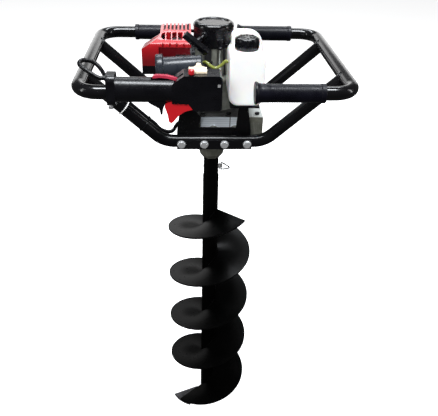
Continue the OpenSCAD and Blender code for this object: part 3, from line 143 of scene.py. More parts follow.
class Finish:
    """One material with a Principled shader and the nodes that feed it."""

    def __init__(self, name, **fixed):
        self.material = bpy.data.materials.new(name)
        self.material.use_nodes = True
        self.tree = self.material.node_tree
        self.shader = self.tree.nodes["Principled BSDF"]
        for socket, value in fixed.items():
            self.shader.inputs[socket.replace("_", " ")].default_value = value
        self.place = self.node("ShaderNodeTexCoord", out="Object")

    def node(self, kind, settings=None, inputs=None, out=0):
        made = self.tree.nodes.new(kind)
        for key, value in (settings or {}).items():
            setattr(made, key, value)
        for key, value in (inputs or {}).items():
            self.feed(made.inputs[key], value)
        return Wire(self, made.outputs[out])

    def feed(self, socket, value):
        if isinstance(value, Wire):
            self.tree.links.new(value.socket, socket)
        else:
            socket.default_value = value

    def math(self, operation, a, b=0.0):
        return self.node("ShaderNodeMath", {"operation": operation}, {0: a, 1: b})

    def noise(self, size, detail, stretch=(1, 1, 1)):
        spread = self.node("ShaderNodeMapping", None, {"Vector": self.place, "Scale": stretch})
        return self.node("ShaderNodeTexNoise", None,
            {"Vector": spread, "Scale": 1 / size, "Detail": detail})

    def band(self, value, low, high, to_low=0.0, to_high=1.0):
        return self.node("ShaderNodeMapRange", {"clamp": True}, {"Value": value, "From Min": low,
            "From Max": high, "To Min": to_low, "To Max": to_high})

    def near(self, value, middle, inner, outer):
        """One within the inner distance of a middle value, and zero past the outer distance."""
        rise = self.band(value, middle - outer, middle - inner)
        return rise * self.band(value, middle + inner, middle + outer, 1, 0)

    def axis(self, letter):
        return self.node("ShaderNodeSeparateXYZ", None, {0: self.place}, letter)

    def tint(self, factor, dark, light):
        return self.node("ShaderNodeMix", {"data_type": "RGBA"},
            {0: factor, 6: (*dark, 1), 7: (*light, 1)}, 2)

    def blend(self, factor, under, over):
        return self.node("ShaderNodeMix", {"data_type": "RGBA"}, {0: factor, 6: under, 7: over}, 2)

    def bump(self, height, distance):
        return self.node("ShaderNodeBump", None, {"Height": height, "Distance": distance})

    def wear(self, **sockets):
        for socket, value in sockets.items():
            self.feed(self.shader.inputs[socket.replace("_", " ")], value)
        return self.material


finishes = {}


def surface(slot, kind, color, lighter, rough, grain, depth, stretch=(1, 1, 1), **fixed):
    """A finish with a cloudy colour, patchy gloss and a fine bump, kept under its slot."""
    made = Finish(slot, **fixed)
    cloud = made.noise(size=kind["cloud"], detail=kind["detail"])
    pits = made.noise(size=grain, detail=2, stretch=stretch)
    patches = made.noise(size=kind["patch"], detail=4, stretch=stretch)
    smoothest, roughest = (rough * share for share in kind["rough"])
    finishes[slot] = made.wear(
        Base_Color=made.tint(made.band(cloud, *kind["tones"]), color, lighter),
        Roughness=made.band(patches, 0.3, 0.7, smoothest, roughest),
        Normal=made.bump(pits, depth))
    return made


print("shader helpers ready")

# %% [markdown]
# ## Paints
# The frame and the bit are powder-coated black. Powder coat is glossy but never quite flat: a fine
# orange-peel ripple breaks up each reflection. The coat is thinner and duller on the low tubes and at
# the foot of the bit, so its weight rises with the height.

# %% Paints
PAINT = {"cloud": 0.05, "detail": 4, "patch": 0.012, "tones": (0.3, 0.7), "rough": (0.85, 1.2)}
RIPPLE = 0.0022


def paint(slot, color, lighter, rough, peel, coat, gloss=0.4):
    return surface(slot, PAINT, color, lighter, rough, RIPPLE, peel,
        Coat_Weight=coat, Coat_Roughness=0.12, Specular_IOR_Level=gloss)


BLACK = ((0.0012, 0.0012, 0.0015), (0.003, 0.003, 0.0035))
BIT_BLACK = ((0.0004, 0.0004, 0.0004), (0.001, 0.001, 0.001))
LOW_TUBES = 0.90
HIGH_TUBES = 0.96
BIT_FOOT = 0.1
BIT_GLOSSY = 0.6
tubes = paint("frame_paint", *BLACK, rough=0.22, peel=0.000004, coat=0.5, gloss=0.2)
tubes.wear(Coat_Weight=tubes.band(tubes.axis("Z"), LOW_TUBES, HIGH_TUBES, 0.08, 0.55))
paint("bracket_paint", *BLACK, rough=0.30, peel=0.00003, coat=0.0)
paint("silencer_steel", (0.012, 0.012, 0.012), (0.028, 0.026, 0.024), rough=0.55, peel=0.00008, coat=0.0)
paint("wire_steel", (0.002, 0.002, 0.002), (0.005, 0.005, 0.005), rough=0.3, peel=0.00002, coat=0.1)
bit = paint("auger_paint", *BIT_BLACK, rough=0.30, peel=0.00002, coat=0.0, gloss=0.02)
bit.shader.inputs["Coat Roughness"].default_value = 0.3
bit.wear(Coat_Weight=bit.band(bit.axis("Z"), BIT_FOOT, BIT_GLOSSY, 0.0, 0.24))
print("paints:", sorted(finishes))

# %% [markdown]
# ## Metals
# Zinc-plated bolts are bright with cloudy patches. Turned steel shows rings, so its noise is stretched
# along one axis. Cast and pressed metals are rougher and have a deeper grain.

# %% Metals
METAL = {"cloud": 0.016, "detail": 5, "patch": 0.006, "tones": (0.32, 0.68), "rough": (0.8, 1.25)}


def metal(slot, color, lighter, rough, grain, depth, metallic=1.0, stretch=(1, 1, 1)):
    surface(slot, METAL, color, lighter, rough, grain, depth, stretch, Metallic=metallic)


RINGS = (1, 1, 6)
metal("zinc", (0.78, 0.79, 0.80), (0.95, 0.96, 0.97),
    rough=0.15, grain=0.0015, depth=0.00003, metallic=0.8)
metal("bright_steel", (0.55, 0.55, 0.56), (0.72, 0.72, 0.73),
    rough=0.26, grain=0.0012, depth=0.00002, stretch=RINGS)
metal("drum_steel", (0.30, 0.30, 0.31), (0.45, 0.45, 0.46),
    rough=0.36, grain=0.0012, depth=0.00003, stretch=RINGS)
metal("piston_alloy", (0.50, 0.51, 0.52), (0.66, 0.67, 0.68), rough=0.34, grain=0.0012, depth=0.00003)
metal("dark_aluminium", (0.016, 0.016, 0.018), (0.035, 0.035, 0.038),
    rough=0.5, grain=0.0015, depth=0.00008, metallic=0.6)
metal("shoe_metal", (0.10, 0.10, 0.105), (0.17, 0.17, 0.175), rough=0.6, grain=0.0012, depth=0.00008)
metal("blade_steel", (0.03, 0.03, 0.032), (0.09, 0.09, 0.095), rough=0.36, grain=0.0016, depth=0.00005)
print("metals added:", len(finishes))

# %% [markdown]
# ## Cast housings
# One casting shows several skins. Its front flange is milled and keeps the fine lines of the cutter,
# with a seam where two blocks meet. The top of the flange carries painted shade, near black, at the
# left, and a painted highlight, pale, at the right. The neck keeps the olive skin of the mould, the
# front of the ribbed end is a darker olive as painted shade, and the post under the starter is dark.
# Position picks the skin.

# %% Castings
FLANGE_FRONT = -0.075
FLANGE_LOW = 0.872
FLANGE_TOP = 0.924
FLANGE_END = 0.060
FACED = 0.005
SEAM_X = 0.0335
POST_FRONT = -0.0398
POST_LOW = 1.018
CUTTER_STEP = 0.0042
NECK_FADE = 0.002
HAIR = 0.0006
# Painted shade: the near-black tone on the flange top at the left. Painted light: the pale tone on the
# flange top at the right.
TOP_SHADE = (0.025, 0.025, 0.024, 1)
TOP_HIGHLIGHT = (0.55, 0.57, 0.55, 1)
SEAM_SHADE = (0.05, 0.05, 0.06, 1)
POST_SHADE = (0.045, 0.047, 0.04, 1)


def casting(slot):
    made = Finish(slot, Metallic=0.5)
    x, y, z = (made.axis(letter) for letter in "XYZ")
    cloud = made.band(made.noise(size=0.016, detail=5), 0.32, 0.68)
    mould = made.tint(cloud, (0.12, 0.124, 0.105), (0.21, 0.216, 0.19))
    # Painted shade: a darker olive for the front of the ribbed end.
    end_shade = made.tint(cloud, (0.11, 0.112, 0.092), (0.19, 0.193, 0.162))
    neck = made.tint(cloud, (0.16, 0.163, 0.135), (0.27, 0.274, 0.232))
    cutter = made.math("SINE", z * (2 * math.pi / CUTTER_STEP)) * 0.5 + 0.5
    milled = made.tint(cutter, (0.64, 0.70, 0.76), (0.80, 0.86, 0.92))
    front = made.near(y, FLANGE_FRONT, HAIR, 2 * HAIR) * made.band(z, FLANGE_LOW - HAIR, FLANGE_LOW)
    left = made.band(x, FLANGE_END, FLANGE_END + 2 * HAIR, 1, 0)
    seam = made.near(x, SEAM_X, HAIR, 2 * HAIR)
    top = made.band(z, FLANGE_TOP - HAIR, FLANGE_TOP - HAIR / 2)
    top = top * made.band(z, FLANGE_TOP + FACED, FLANGE_TOP + 1.2 * FACED, 1, 0)
    post = made.band(y, POST_FRONT, POST_FRONT + HAIR, 1, 0) * made.band(z, POST_LOW, POST_LOW + HAIR)
    # Flange top: painted shade at the left, painted highlight at the right.
    color = made.blend(top * left, mould, TOP_SHADE)
    color = made.blend(top * (1 - left), color, TOP_HIGHLIGHT)
    color = made.blend(front * left, color, milled)
    color = made.blend(front * left * seam, color, SEAM_SHADE)
    # Painted shade on the front of the ribbed end.
    color = made.blend(front * (1 - left), color, end_shade)
    color = made.blend(made.band(z, FLANGE_LOW - NECK_FADE, FLANGE_LOW, 1, 0), color, neck)
    color = made.blend(post, color, POST_SHADE)
    finishes[slot] = made.wear(Base_Color=color,
        Roughness=made.band(made.noise(size=0.006, detail=4), 0.3, 0.7, 0.42, 0.6),
        Normal=made.bump(made.noise(size=0.0011, detail=2), 0.00008))


casting("cast_aluminium")
print("castings added:", len(finishes))

# %% [markdown]
# ## Plastics and rubber
# Moulded parts copy a grained mould, so a fine bump breaks the highlight. The red parts and the lever
# are glossy, as if lacquered. The tank is natural polyethylene, which lets a little light into it, and
# the fuel hose is clear vinyl with a yellow-green cast.

# %% Plastics
PLASTIC = {"cloud": 0.04, "detail": 4, "patch": 0.01, "tones": (0.3, 0.7), "rough": (0.85, 1.2)}


def plastic(slot, color, lighter, rough, grain, depth, **fixed):
    return surface(slot, PLASTIC, color, lighter, rough, grain, depth, **fixed)


plastic("black_plastic", (0.0012, 0.0012, 0.0018), (0.003, 0.003, 0.004),
    rough=0.28, grain=0.0009, depth=0.000015, Specular_IOR_Level=0.36)
plastic("grip_rubber", (0.0012, 0.0012, 0.0025), (0.003, 0.003, 0.006),
    rough=0.4, grain=0.0008, depth=0.00003, Specular_IOR_Level=0.26)
plastic("conduit_plastic", (0.0012, 0.0012, 0.0015), (0.003, 0.003, 0.004),
    rough=0.32, grain=0.001, depth=0.00002, Specular_IOR_Level=0.4)
plastic("cleaner_plastic", (0.010, 0.012, 0.016), (0.017, 0.020, 0.025),
    rough=0.28, grain=0.001, depth=0.00002, Specular_IOR_Level=0.34)
plastic("lever_plastic", (0.30, 0.016, 0.04), (0.38, 0.03, 0.06),
    rough=0.22, grain=0.003, depth=0.00002, Coat_Weight=1.0)
plastic("cream_plastic", (0.72, 0.62, 0.46), (0.78, 0.69, 0.54), rough=0.36, grain=0.002, depth=0.00003)
plastic("tie_plastic", (0.82, 0.82, 0.80), (0.88, 0.88, 0.86), rough=0.36, grain=0.002, depth=0.00002)
plastic("tank_plastic", (0.74, 0.74, 0.735), (0.79, 0.79, 0.785),
    rough=0.34, grain=0.0025, depth=0.00005, Subsurface_Weight=0.25, Subsurface_Scale=0.006)
plastic("hose_plastic", (0.15, 0.17, 0.025), (0.22, 0.245, 0.05),
    rough=0.2, grain=0.003, depth=0.00002, Transmission_Weight=0.3)
plastic("plug_ceramic", (0.80, 0.79, 0.75), (0.88, 0.87, 0.84), rough=0.14, grain=0.003, depth=0.00001)
plastic("rope_fabric", (0.02, 0.02, 0.022), (0.06, 0.06, 0.062), rough=0.8, grain=0.0006, depth=0.0001)
print("plastics added:", len(finishes))

# %% [markdown]
# ## Red plastic
# The shroud is darker towards its skirt and in its sunk panel, as painted shade, and the trigger, which
# sits in shade under the handle, is a brighter red as painted light. Masks by height and depth lay those
# tones over the moulded red.

# %% Red plastic
PANEL_FRONT = -0.044
PANEL_TINT_TOP = 1.057
SHADE_FOOT = 1.01
SHADE_DENSE = 1.03
SHADE_END = 1.076
TRIGGER_TOP = 1.0
FADE = 0.001
# Painted shade: the dark reds for the low shroud and the sunk panel. Painted light: the brighter red of
# the trigger.
SKIRT_SHADE = (0.07, 0.002, 0.003, 1)
PANEL_SHADE = (0.06, 0.002, 0.004, 1)
TRIGGER_LIGHT_RED = (0.5, 0.010, 0.016, 1)
red = plastic("red_plastic", (0.37, 0.005, 0.009), (0.45, 0.008, 0.014),
    rough=0.34, grain=0.004, depth=0.00002, Coat_Weight=1.0, Coat_Roughness=0.3)
moulded = Wire(red, red.shader.inputs["Base Color"].links[0].from_socket)
height = red.axis("Z")
# Painted shade: the sunk panel under the ledge is darkened.
in_panel = red.near(red.axis("Y"), PANEL_FRONT, HAIR / 3, HAIR)
in_panel = in_panel * red.band(height, PANEL_TINT_TOP, PANEL_TINT_TOP + FADE, 1, 0)
# Painted shade: the red grows darker towards the skirt.
shade_by_skirt = red.band(height, SHADE_DENSE, SHADE_END, 1, 0)
shade_by_skirt = shade_by_skirt * red.band(height, SHADE_FOOT, SHADE_FOOT + 2 * FADE)
# Painted light: the trigger, in shade under the handle, is made a brighter red.
trigger_light = red.band(height, TRIGGER_TOP, SHADE_FOOT, 1, 0)
toned = red.blend(shade_by_skirt * 0.9, moulded, SKIRT_SHADE)
toned = red.blend(trigger_light, toned, TRIGGER_LIGHT_RED)
red.wear(Base_Color=red.blend(in_panel * 0.8, toned, PANEL_SHADE))
print("finishes:", len(finishes))

# %% [markdown]
# ## Finishes on the CAD nodes
# Each CAD node takes the finish of its slot in the record. A live Weld joins its loose triangles, a
# planar Decimate turns them back into whole faces, and a Bevel then rounds the true edges only.
# The node's own vertices stay as they are, so the frame is untouched.

# %% Dress the CAD nodes
slot_of = {part["node"]: part["material_slot"] for part in frame["record"]["subparts"]}
WELD_REACH = 0.00001
FLAT_ANGLE = math.radians(0.6)
EDGE_ANGLE = 32
EDGE_SEGMENTS = 2


def coated(obj, slot):
    obj.data.materials.clear()
    obj.data.materials.append(finishes[slot])
    return obj


def bevel(obj, width, segments, angle):
    """Rounds the edges that are sharper than an angle in degrees."""
    edge = obj.modifiers.new("edge", "BEVEL")
    edge.width = width
    edge.segments = segments
    edge.limit_method = "ANGLE"
    edge.angle_limit = math.radians(angle)


def dress(name, radius):
    solid = coated(cad_nodes[name], slot_of[name])
    if radius:
        weld = solid.modifiers.new("weld", "WELD")
        weld.merge_threshold = WELD_REACH
        flat = solid.modifiers.new("flat", "DECIMATE")
        flat.decimate_type = "DISSOLVE"
        flat.angle_limit = FLAT_ANGLE
        bevel(solid, radius, EDGE_SEGMENTS, EDGE_ANGLE)


SOFT_EDGES = {
    "front_bracket": 0.8, "rear_bracket": 0.8, "clamp_strips": 0.8, "frame_bolts": 0.5,
    "frame_nuts": 0.5, "throttle_case_front": 1.2, "throttle_case_rear": 1.2, "handle_fasteners": 0.3,
    "throttle_trigger": 1.6, "lockout_lever": 1.6, "cable_ties": 0.3, "crankcase_lower": 0.7,
    "crankcase_upper": 0.7, "ignition_coil": 1.0, "carburettor": 0.6, "choke_lever": 0.5, "muffler": 1.2,
    "tank_bracket": 0.6, "clutch_housing": 1.0, "gearbox_case": 1.0, "auger_tube": 0.6,
    "cutting_blade": 0.4, "engine_screws": 0.4, "hitch_pin": 0.8, "cylinder": 0.3,
}
for node_name in cad_nodes:
    dress(node_name, SOFT_EDGES.get(node_name, 0) * MM)
print("dressed:", len(cad_nodes), "nodes,", len(SOFT_EDGES), "with soft edges")

# %% [markdown]
# ## Mesh helpers
# Most added pieces are a profile turned round an axis or a ring carried along a path. Both helpers
# return plain points and faces. `mesh_object` makes the mesh and points its faces outwards, and
# `finish_piece` ties it to its CAD body.

# %% Mesh helpers
ORIGIN = (0, 0, 0)
UP = (0, 0, 1)


def finish_piece(obj, slot, hides, body=None):
    """Gives a finished mesh its finish, its body and the CAD nodes that it stands for."""
    coated(obj, slot)
    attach(obj, body or cad_nodes[hides[0]]["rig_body"])
    if hides:
        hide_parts(*hides)
    return obj


def shade(mesh, sharp_angle):
    """Smooth shading, apart from edges sharper than an angle in degrees."""
    mesh.polygons.foreach_set("use_smooth", [True] * len(mesh.polygons))
    mesh.set_sharp_from_angle(angle=math.radians(sharp_angle))


def live_mesh(obj):
    """A plain mesh of what the object's modifiers make."""
    bpy.context.view_layer.update()
    ready = obj.evaluated_get(bpy.context.evaluated_depsgraph_get())
    return bpy.data.meshes.new_from_object(ready)


def mesh_object(name, points, faces, sharp_angle=40):
    mesh = bpy.data.meshes.new(name)
    mesh.from_pydata([Vector(p) for p in points], [], faces)
    work = bmesh.new()
    work.from_mesh(mesh)
    bmesh.ops.remove_doubles(work, verts=work.verts, dist=1e-7)
    bmesh.ops.recalc_face_normals(work, faces=work.faces)
    work.to_mesh(mesh)
    work.free()
    shade(mesh, sharp_angle)
    return linked(name, mesh)


def circle(sides):
    angles = [2 * math.pi * k / sides for k in range(sides)]
    return [(math.cos(angle), math.sin(angle)) for angle in angles]


def skin(rings, sides, closed=False):
    """Faces between neighbouring rings of points; a closed skin joins the last ring to the first."""
    faces = []
    for i in range(rings if closed else rings - 1):
        j = (i + 1) % rings
        for k in range(sides):
            m = (k + 1) % sides
            faces.append((i * sides + k, i * sides + m, j * sides + m, j * sides + k))
    return faces


def capped(rings, sides):
    """An open skin with one face over each end."""
    first = tuple(range(sides))
    return skin(rings, sides) + [first, tuple((rings - 1) * sides + k for k in first)]


def turned(profile, origin, axis, sides):
    """A closed profile of (radius, height) points turned round an axis, in millimetres."""
    spin = Vector(axis).normalized().to_track_quat("Z", "Y").to_matrix()
    base = Vector(origin) * MM
    points = [base + spin @ Vector((radius * MM * c, radius * MM * s, height * MM))
        for radius, height in profile for c, s in circle(sides)]
    return points, skin(len(profile), sides, closed=True)


def smooth_path(points, steps):
    """A Catmull-Rom line through given points, the same rule as in the CAD source."""
    line = []
    last = len(points) - 1
    for i in range(last):
        a = Vector(points[max(i - 1, 0)])
        b = Vector(points[i])
        c = Vector(points[i + 1])
        d = Vector(points[min(i + 2, last)])
        for j in range(steps):
            t = j / steps
            line.append(0.5 * (2 * b + (c - a) * t + (2 * a - 5 * b + 4 * c - d) * t ** 2
                + (3 * b - a - 3 * c + d) * t ** 3))
    line.append(Vector(points[last]))
    return line


def carried(path, radius, sides):
    """A round tube along a path; each ring turns as little as it can from the one before."""
    points = []
    side = None
    for i, here in enumerate(path):
        along = (path[min(i + 1, len(path) - 1)] - path[max(i - 1, 0)]).normalized()
        side = along.orthogonal() if side is None else side - along * side.dot(along)
        side.normalize()
        across = along.cross(side)
        points.extend(here + radius * (c * side + s * across) for c, s in circle(sides))
    return points, capped(len(path), sides)


def path_length(path):
    return sum((b - a).length for a, b in zip(path, path[1:]))


print("mesh helpers ready")

# %% [markdown]
# ## Ribs that follow a path
# A corrugated conduit, a ribbed grip and a weld bead are all one small shape repeated along a line.
# A Geometry Nodes tree does that: it resamples the line, puts one rib on each point, turned to the
# line's direction, and realizes the copies so that the result is a plain mesh.

# %% Rib tree
def new_tree(name, inputs, output):
    """An empty tree with named inputs and one geometry output."""
    tree = bpy.data.node_groups.new(name, "GeometryNodeTree")
    for label, kind in inputs.items():
        tree.interface.new_socket(label, in_out="INPUT", socket_type="NodeSocket" + kind)
    tree.interface.new_socket(output, in_out="OUTPUT", socket_type="NodeSocketGeometry")
    return tree


def end_tree(tree, start, copies, output):
    """Turns the copies into plain mesh and gives them the finish."""
    real = tree.nodes.new("GeometryNodeRealizeInstances")
    coat = tree.nodes.new("GeometryNodeSetMaterial")
    end = tree.nodes.new("NodeGroupOutput")
    tree.links.new(copies.outputs["Instances"], real.inputs["Geometry"])
    tree.links.new(real.outputs["Geometry"], coat.inputs["Geometry"])
    tree.links.new(start.outputs["Finish"], coat.inputs["Material"])
    tree.links.new(coat.outputs["Geometry"], end.inputs[output])


def rib_tree():
    tree = new_tree("ribs_along_path",
        {"Path": "Geometry", "Rib": "Object", "Spacing": "Float", "Finish": "Material"}, "Ribs")
    add = tree.nodes.new
    link = tree.links.new
    start = add("NodeGroupInput")
    cut_up = add("GeometryNodeResampleCurve")
    cut_up.mode = "LENGTH"
    shape = add("GeometryNodeObjectInfo")
    tangent = add("GeometryNodeInputTangent")
    turn_to = add("FunctionNodeAlignRotationToVector")
    turn_to.axis = "Z"
    copies = add("GeometryNodeInstanceOnPoints")
    link(start.outputs["Path"], cut_up.inputs["Curve"])
    link(start.outputs["Spacing"], cut_up.inputs["Length"])
    link(start.outputs["Rib"], shape.inputs["Object"])
    link(cut_up.outputs["Curve"], copies.inputs["Points"])
    link(shape.outputs["Geometry"], copies.inputs["Instance"])
    link(tangent.outputs["Tangent"], turn_to.inputs["Vector"])
    link(turn_to.outputs["Rotation"], copies.inputs["Rotation"])
    end_tree(tree, start, copies, "Ribs")
    return tree


ribs_along_path = rib_tree()
rib_socket = {item.name: item.identifier for item in ribs_along_path.interface.items_tree}


def line_curve(name, path):
    data = bpy.data.curves.new(name, "CURVE")
    data.dimensions = "3D"
    spline = data.splines.new("POLY")
    spline.points.add(len(path) - 1)
    for point, place in zip(spline.points, path):
        point.co = (*place, 1)
    return linked(name, data)


def ribbed(name, path, shape, spacing, slot):
    """Copies of one rib along a path, as a plain mesh object."""
    rib = mesh_object(name + "_rib", *shape)
    line = line_curve(name + "_line", path)
    made = line.modifiers.new("ribs", "NODES")
    made.node_group = ribs_along_path
    made[rib_socket["Rib"]] = rib
    made[rib_socket["Spacing"]] = spacing
    made[rib_socket["Finish"]] = finishes[slot]
    mesh = live_mesh(line)
    line.modifiers.remove(made)
    bpy.data.objects.remove(line)
    bpy.data.objects.remove(rib)
    return linked(name, mesh)


def joined(name, parts):
    """One object from several meshes that lie in the same frame."""
    work = bmesh.new()
    for part in parts:
        work.from_mesh(part.data)
    mesh = bpy.data.meshes.new(name)
    work.to_mesh(mesh)
    work.free()
    for part in parts:
        bpy.data.objects.remove(part)
    return linked(name, mesh)


print("rib tree inputs:", sorted(rib_socket))

# %% [markdown]
# ## Throttle conduit and fuel hose
# The throttle cable runs in a corrugated conduit. It leaves the handle, makes one loop, lies along
# the left support tube under two ties, and climbs to the carburettor. The hose hangs between the tank
# and the carburettor. Both repeat the routes of their CAD solids, so they meet the same holes.

# %% Cords
HANDLE_Z = 1021.5
CRANK_Z = 1022.0
BAR_Z = 888.0
SUPPORT_Y = 110.0
SUPPORT_X = 100.0
HAND_LEFT = 192.0
TUBE_RADIUS = 12.5
CABLE_RADIUS = 4.0
HOSE_RADIUS = 3.0
TIE_GAP = 0.3
TIE_OFFSET = TUBE_RADIUS + CABLE_RADIUS + TIE_GAP
TIE_TURN = math.radians(48)
FRAME_X = 247.0
PATH_STEPS = 8
DIAGONAL = math.atan2(HANDLE_Z - BAR_Z, FRAME_X - SUPPORT_X)
FACE_GAP = 0.05


def on_diagonal(x, off):
    up = off * math.cos(TIE_TURN)
    return (-x + up * math.sin(DIAGONAL), -SUPPORT_Y + off * math.sin(TIE_TURN),
        BAR_Z + (x - SUPPORT_X) * math.tan(DIAGONAL) + up * math.cos(DIAGONAL))


conduit_stops = [
    (-HAND_LEFT - FACE_GAP, -190, HANDLE_Z + 22), (-HAND_LEFT - 6, -190, HANDLE_Z + 22),
    (-HAND_LEFT - 13, -190, HANDLE_Z + 22), (-222, -184, HANDLE_Z + 30), (-240, -170, HANDLE_Z + 39),
    (-236, -154, HANDLE_Z + 42), (-218, -148, HANDLE_Z + 36), (-204, -154, HANDLE_Z + 22),
    (-196, -154, HANDLE_Z), (-195, -132, HANDLE_Z - 14), (-191, -115, HANDLE_Z - 21),
    on_diagonal(184, TIE_OFFSET + 0.6), on_diagonal(176, TIE_OFFSET), on_diagonal(168, TIE_OFFSET),
    on_diagonal(160, TIE_OFFSET), on_diagonal(140, TIE_OFFSET), on_diagonal(126, TIE_OFFSET + 0.5),
    (-108, -96, BAR_Z + 20), (-94, -94.5, BAR_Z + 13), (-82, -91, BAR_Z + 14), (-74, -86, BAR_Z + 25),
    (-62, -84, BAR_Z + 34), (-49, -84, BAR_Z + 42), (-40, -83, BAR_Z + 54), (-41, -80, BAR_Z + 70),
    (-56, -76, CRANK_Z - 50), (-82, -71, CRANK_Z - 44), (-104, -66, CRANK_Z - 32),
    (-112, -63, CRANK_Z - 18), (-104, -62, CRANK_Z - 7), (-92, -62, CRANK_Z - 5),
    (-80, -62, CRANK_Z - 5), (-76, -62, CRANK_Z - 5), (-72 - FACE_GAP, -62, CRANK_Z - 5)]
hose_stops = [
    (25 - FACE_GAP, -92, CRANK_Z + 22), (22, -92, CRANK_Z + 22), (19, -92, CRANK_Z + 22),
    (11, -92, CRANK_Z + 14), (1, -92, CRANK_Z + 9), (-9, -91, CRANK_Z + 13), (-17, -86, CRANK_Z + 18),
    (-25, -75, CRANK_Z + 13), (-33, -66, CRANK_Z + 4), (-37, -66, CRANK_Z + 4),
    (-40 + FACE_GAP, -66, CRANK_Z + 4)]


def in_metres(stops):
    return [Vector(stop) * MM for stop in stops]


CORE_RADIUS = 3.5
CONDUIT_STEP = 2.6
CONDUIT_RIB = [(3.2, -1.0), (3.95, -0.65), (CABLE_RADIUS, 0.0), (3.95, 0.65), (3.2, 1.0), (2.6, 0.0)]
conduit_path = smooth_path(in_metres(conduit_stops), PATH_STEPS)
conduit_core = mesh_object("conduit_core", *carried(conduit_path, CORE_RADIUS * MM, sides=20))
conduit_ribs = ribbed("conduit_ribs", conduit_path, turned(CONDUIT_RIB, ORIGIN, UP, sides=20),
    CONDUIT_STEP * MM, "conduit_plastic")
conduit = joined("throttle_conduit", [conduit_core, conduit_ribs])
finish_piece(conduit, "conduit_plastic", ["throttle_cable"])
path_length(conduit_path)

hose_path = smooth_path(in_metres(hose_stops), PATH_STEPS)
hose = mesh_object("fuel_line", *carried(hose_path, HOSE_RADIUS * MM, sides=20))
finish_piece(hose, "hose_plastic", ["fuel_hose"])
path_length(hose_path)
print("conduit:", round(path_length(conduit_path), 3), "m, hose:", round(path_length(hose_path), 3), "m")

# %% [markdown]
# ## Screw flight
# The flight is a strip of plate drawn into a right-hand screw and welded to the tube. A helix is a
# rule, so the mesh follows it in small steps of angle. A narrow chamfer takes the sharp corners off
# the rim.

# %% Flight
FLIGHT_PITCH = 137.5
FLIGHT_TURNS = 4.28
FLIGHT_START = 220.0
FLIGHT_LOW = 78.0
FLIGHT_THICK = 4.0
STEM_RADIUS = 18.0
STEM_GAP = 0.1
RIM = 100.0
CHAMFER = 0.8
STEPS_PER_TURN = 120


def flight_point(angle, radius, lift):
    turn_angle = math.radians(angle)
    height = FLIGHT_LOW + FLIGHT_PITCH * (angle - FLIGHT_START) / 360 + lift
    return Vector((radius * math.cos(turn_angle), radius * math.sin(turn_angle), height)) * MM


def flight_mesh():
    half = FLIGHT_THICK / 2
    steps = int(FLIGHT_TURNS * STEPS_PER_TURN)
    inner = STEM_RADIUS + STEM_GAP
    section = [(inner, -half), (50, -half), (80, -half), (RIM - CHAMFER, -half), (RIM, -half + CHAMFER),
        (RIM, half - CHAMFER), (RIM - CHAMFER, half), (80, half), (50, half), (inner, half)]
    points = []
    for i in range(steps + 1):
        angle = FLIGHT_START + 360 * FLIGHT_TURNS * i / steps
        points.extend(flight_point(angle, radius, lift) for radius, lift in section)
    return points, capped(steps + 1, len(section))


flight = mesh_object("screw_flight", *flight_mesh(), sharp_angle=30)
finish_piece(flight, "auger_paint", ["auger_flight"])
print("flight faces:", len(flight.data.polygons))

# %% [markdown]
# ## Weld beads
# A weld is a row of overlapping drops. One flattened drop is copied along the seam by the same tree
# as the ribs. The seams are the two edges where the flight meets the tube, and the saddle lines where
# the support tubes meet the handle loops.

# %% Welds
DROP_RADIUS = 1.9
DROP_SQUASH = 0.7
FLIGHT_BEAD = 2.4
SADDLE_BEAD = 1.7
BEAD_LIFT = 0.6
BEAD_END = 2
SADDLE_STEPS = 72


def drop(sides=10, rings=5):
    points = []
    for i in range(rings + 1):
        lean = math.pi * i / rings
        reach = DROP_RADIUS * MM * math.sin(lean)
        rise = DROP_RADIUS * MM * DROP_SQUASH * math.cos(lean)
        points.extend((reach * c, reach * s, rise) for c, s in circle(sides))
    return points, skin(rings + 1, sides)


def flight_seam(lift):
    steps = int(FLIGHT_TURNS * STEPS_PER_TURN / 2)
    first = FLIGHT_START + BEAD_END
    sweep = 360 * FLIGHT_TURNS - 2 * BEAD_END
    return [flight_point(first + sweep * i / steps, STEM_RADIUS + BEAD_LIFT, lift)
        for i in range(steps + 1)]


def saddle(side, front):
    """The line where a support tube meets the side of a handle loop."""
    along = Vector((math.cos(DIAGONAL), 0, math.sin(DIAGONAL)))
    tip = Vector((FRAME_X, 0, HANDLE_Z))
    across = Vector((-along.z, 0, along.x))
    line = []
    for k in range(SADDLE_STEPS + 1):
        angle = 2 * math.pi * k / SADDLE_STEPS
        rise = TUBE_RADIUS * math.sin(angle)
        back = math.sqrt(max(TUBE_RADIUS ** 2 - rise ** 2, 0))
        spot = tip - along * back + across * rise + Vector((0, TUBE_RADIUS * math.cos(angle), 0))
        line.append(Vector((spot.x * side, spot.y + SUPPORT_Y * front, spot.z)) * MM)
    return line


seams = [ribbed("seam_" + str(i), flight_seam(lift), drop(), FLIGHT_BEAD * MM, "auger_paint")
    for i, lift in enumerate((FLIGHT_THICK / 2, -FLIGHT_THICK / 2))]
finish_piece(joined("flight_weld", seams), "auger_paint", [], "auger")
corners = [(side, front) for side in (-1, 1) for front in (-1, 1)]
saddles = [ribbed("saddle_" + str(i), saddle(*corner), drop(), SADDLE_BEAD * MM, "frame_paint")
    for i, corner in enumerate(corners)]
finish_piece(joined("frame_welds", saddles), "frame_paint", [], "frame")
print("weld seams:", len(seams) + len(saddles))

# %% [markdown]
# ## Ribbed grips
# Each grip is a moulded rubber sleeve: a round flange at the inner end, a plain collar, a long run of
# fine ribs, and a thicker ring where it stops. The sleeve is a turned profile and the ribs are copies.

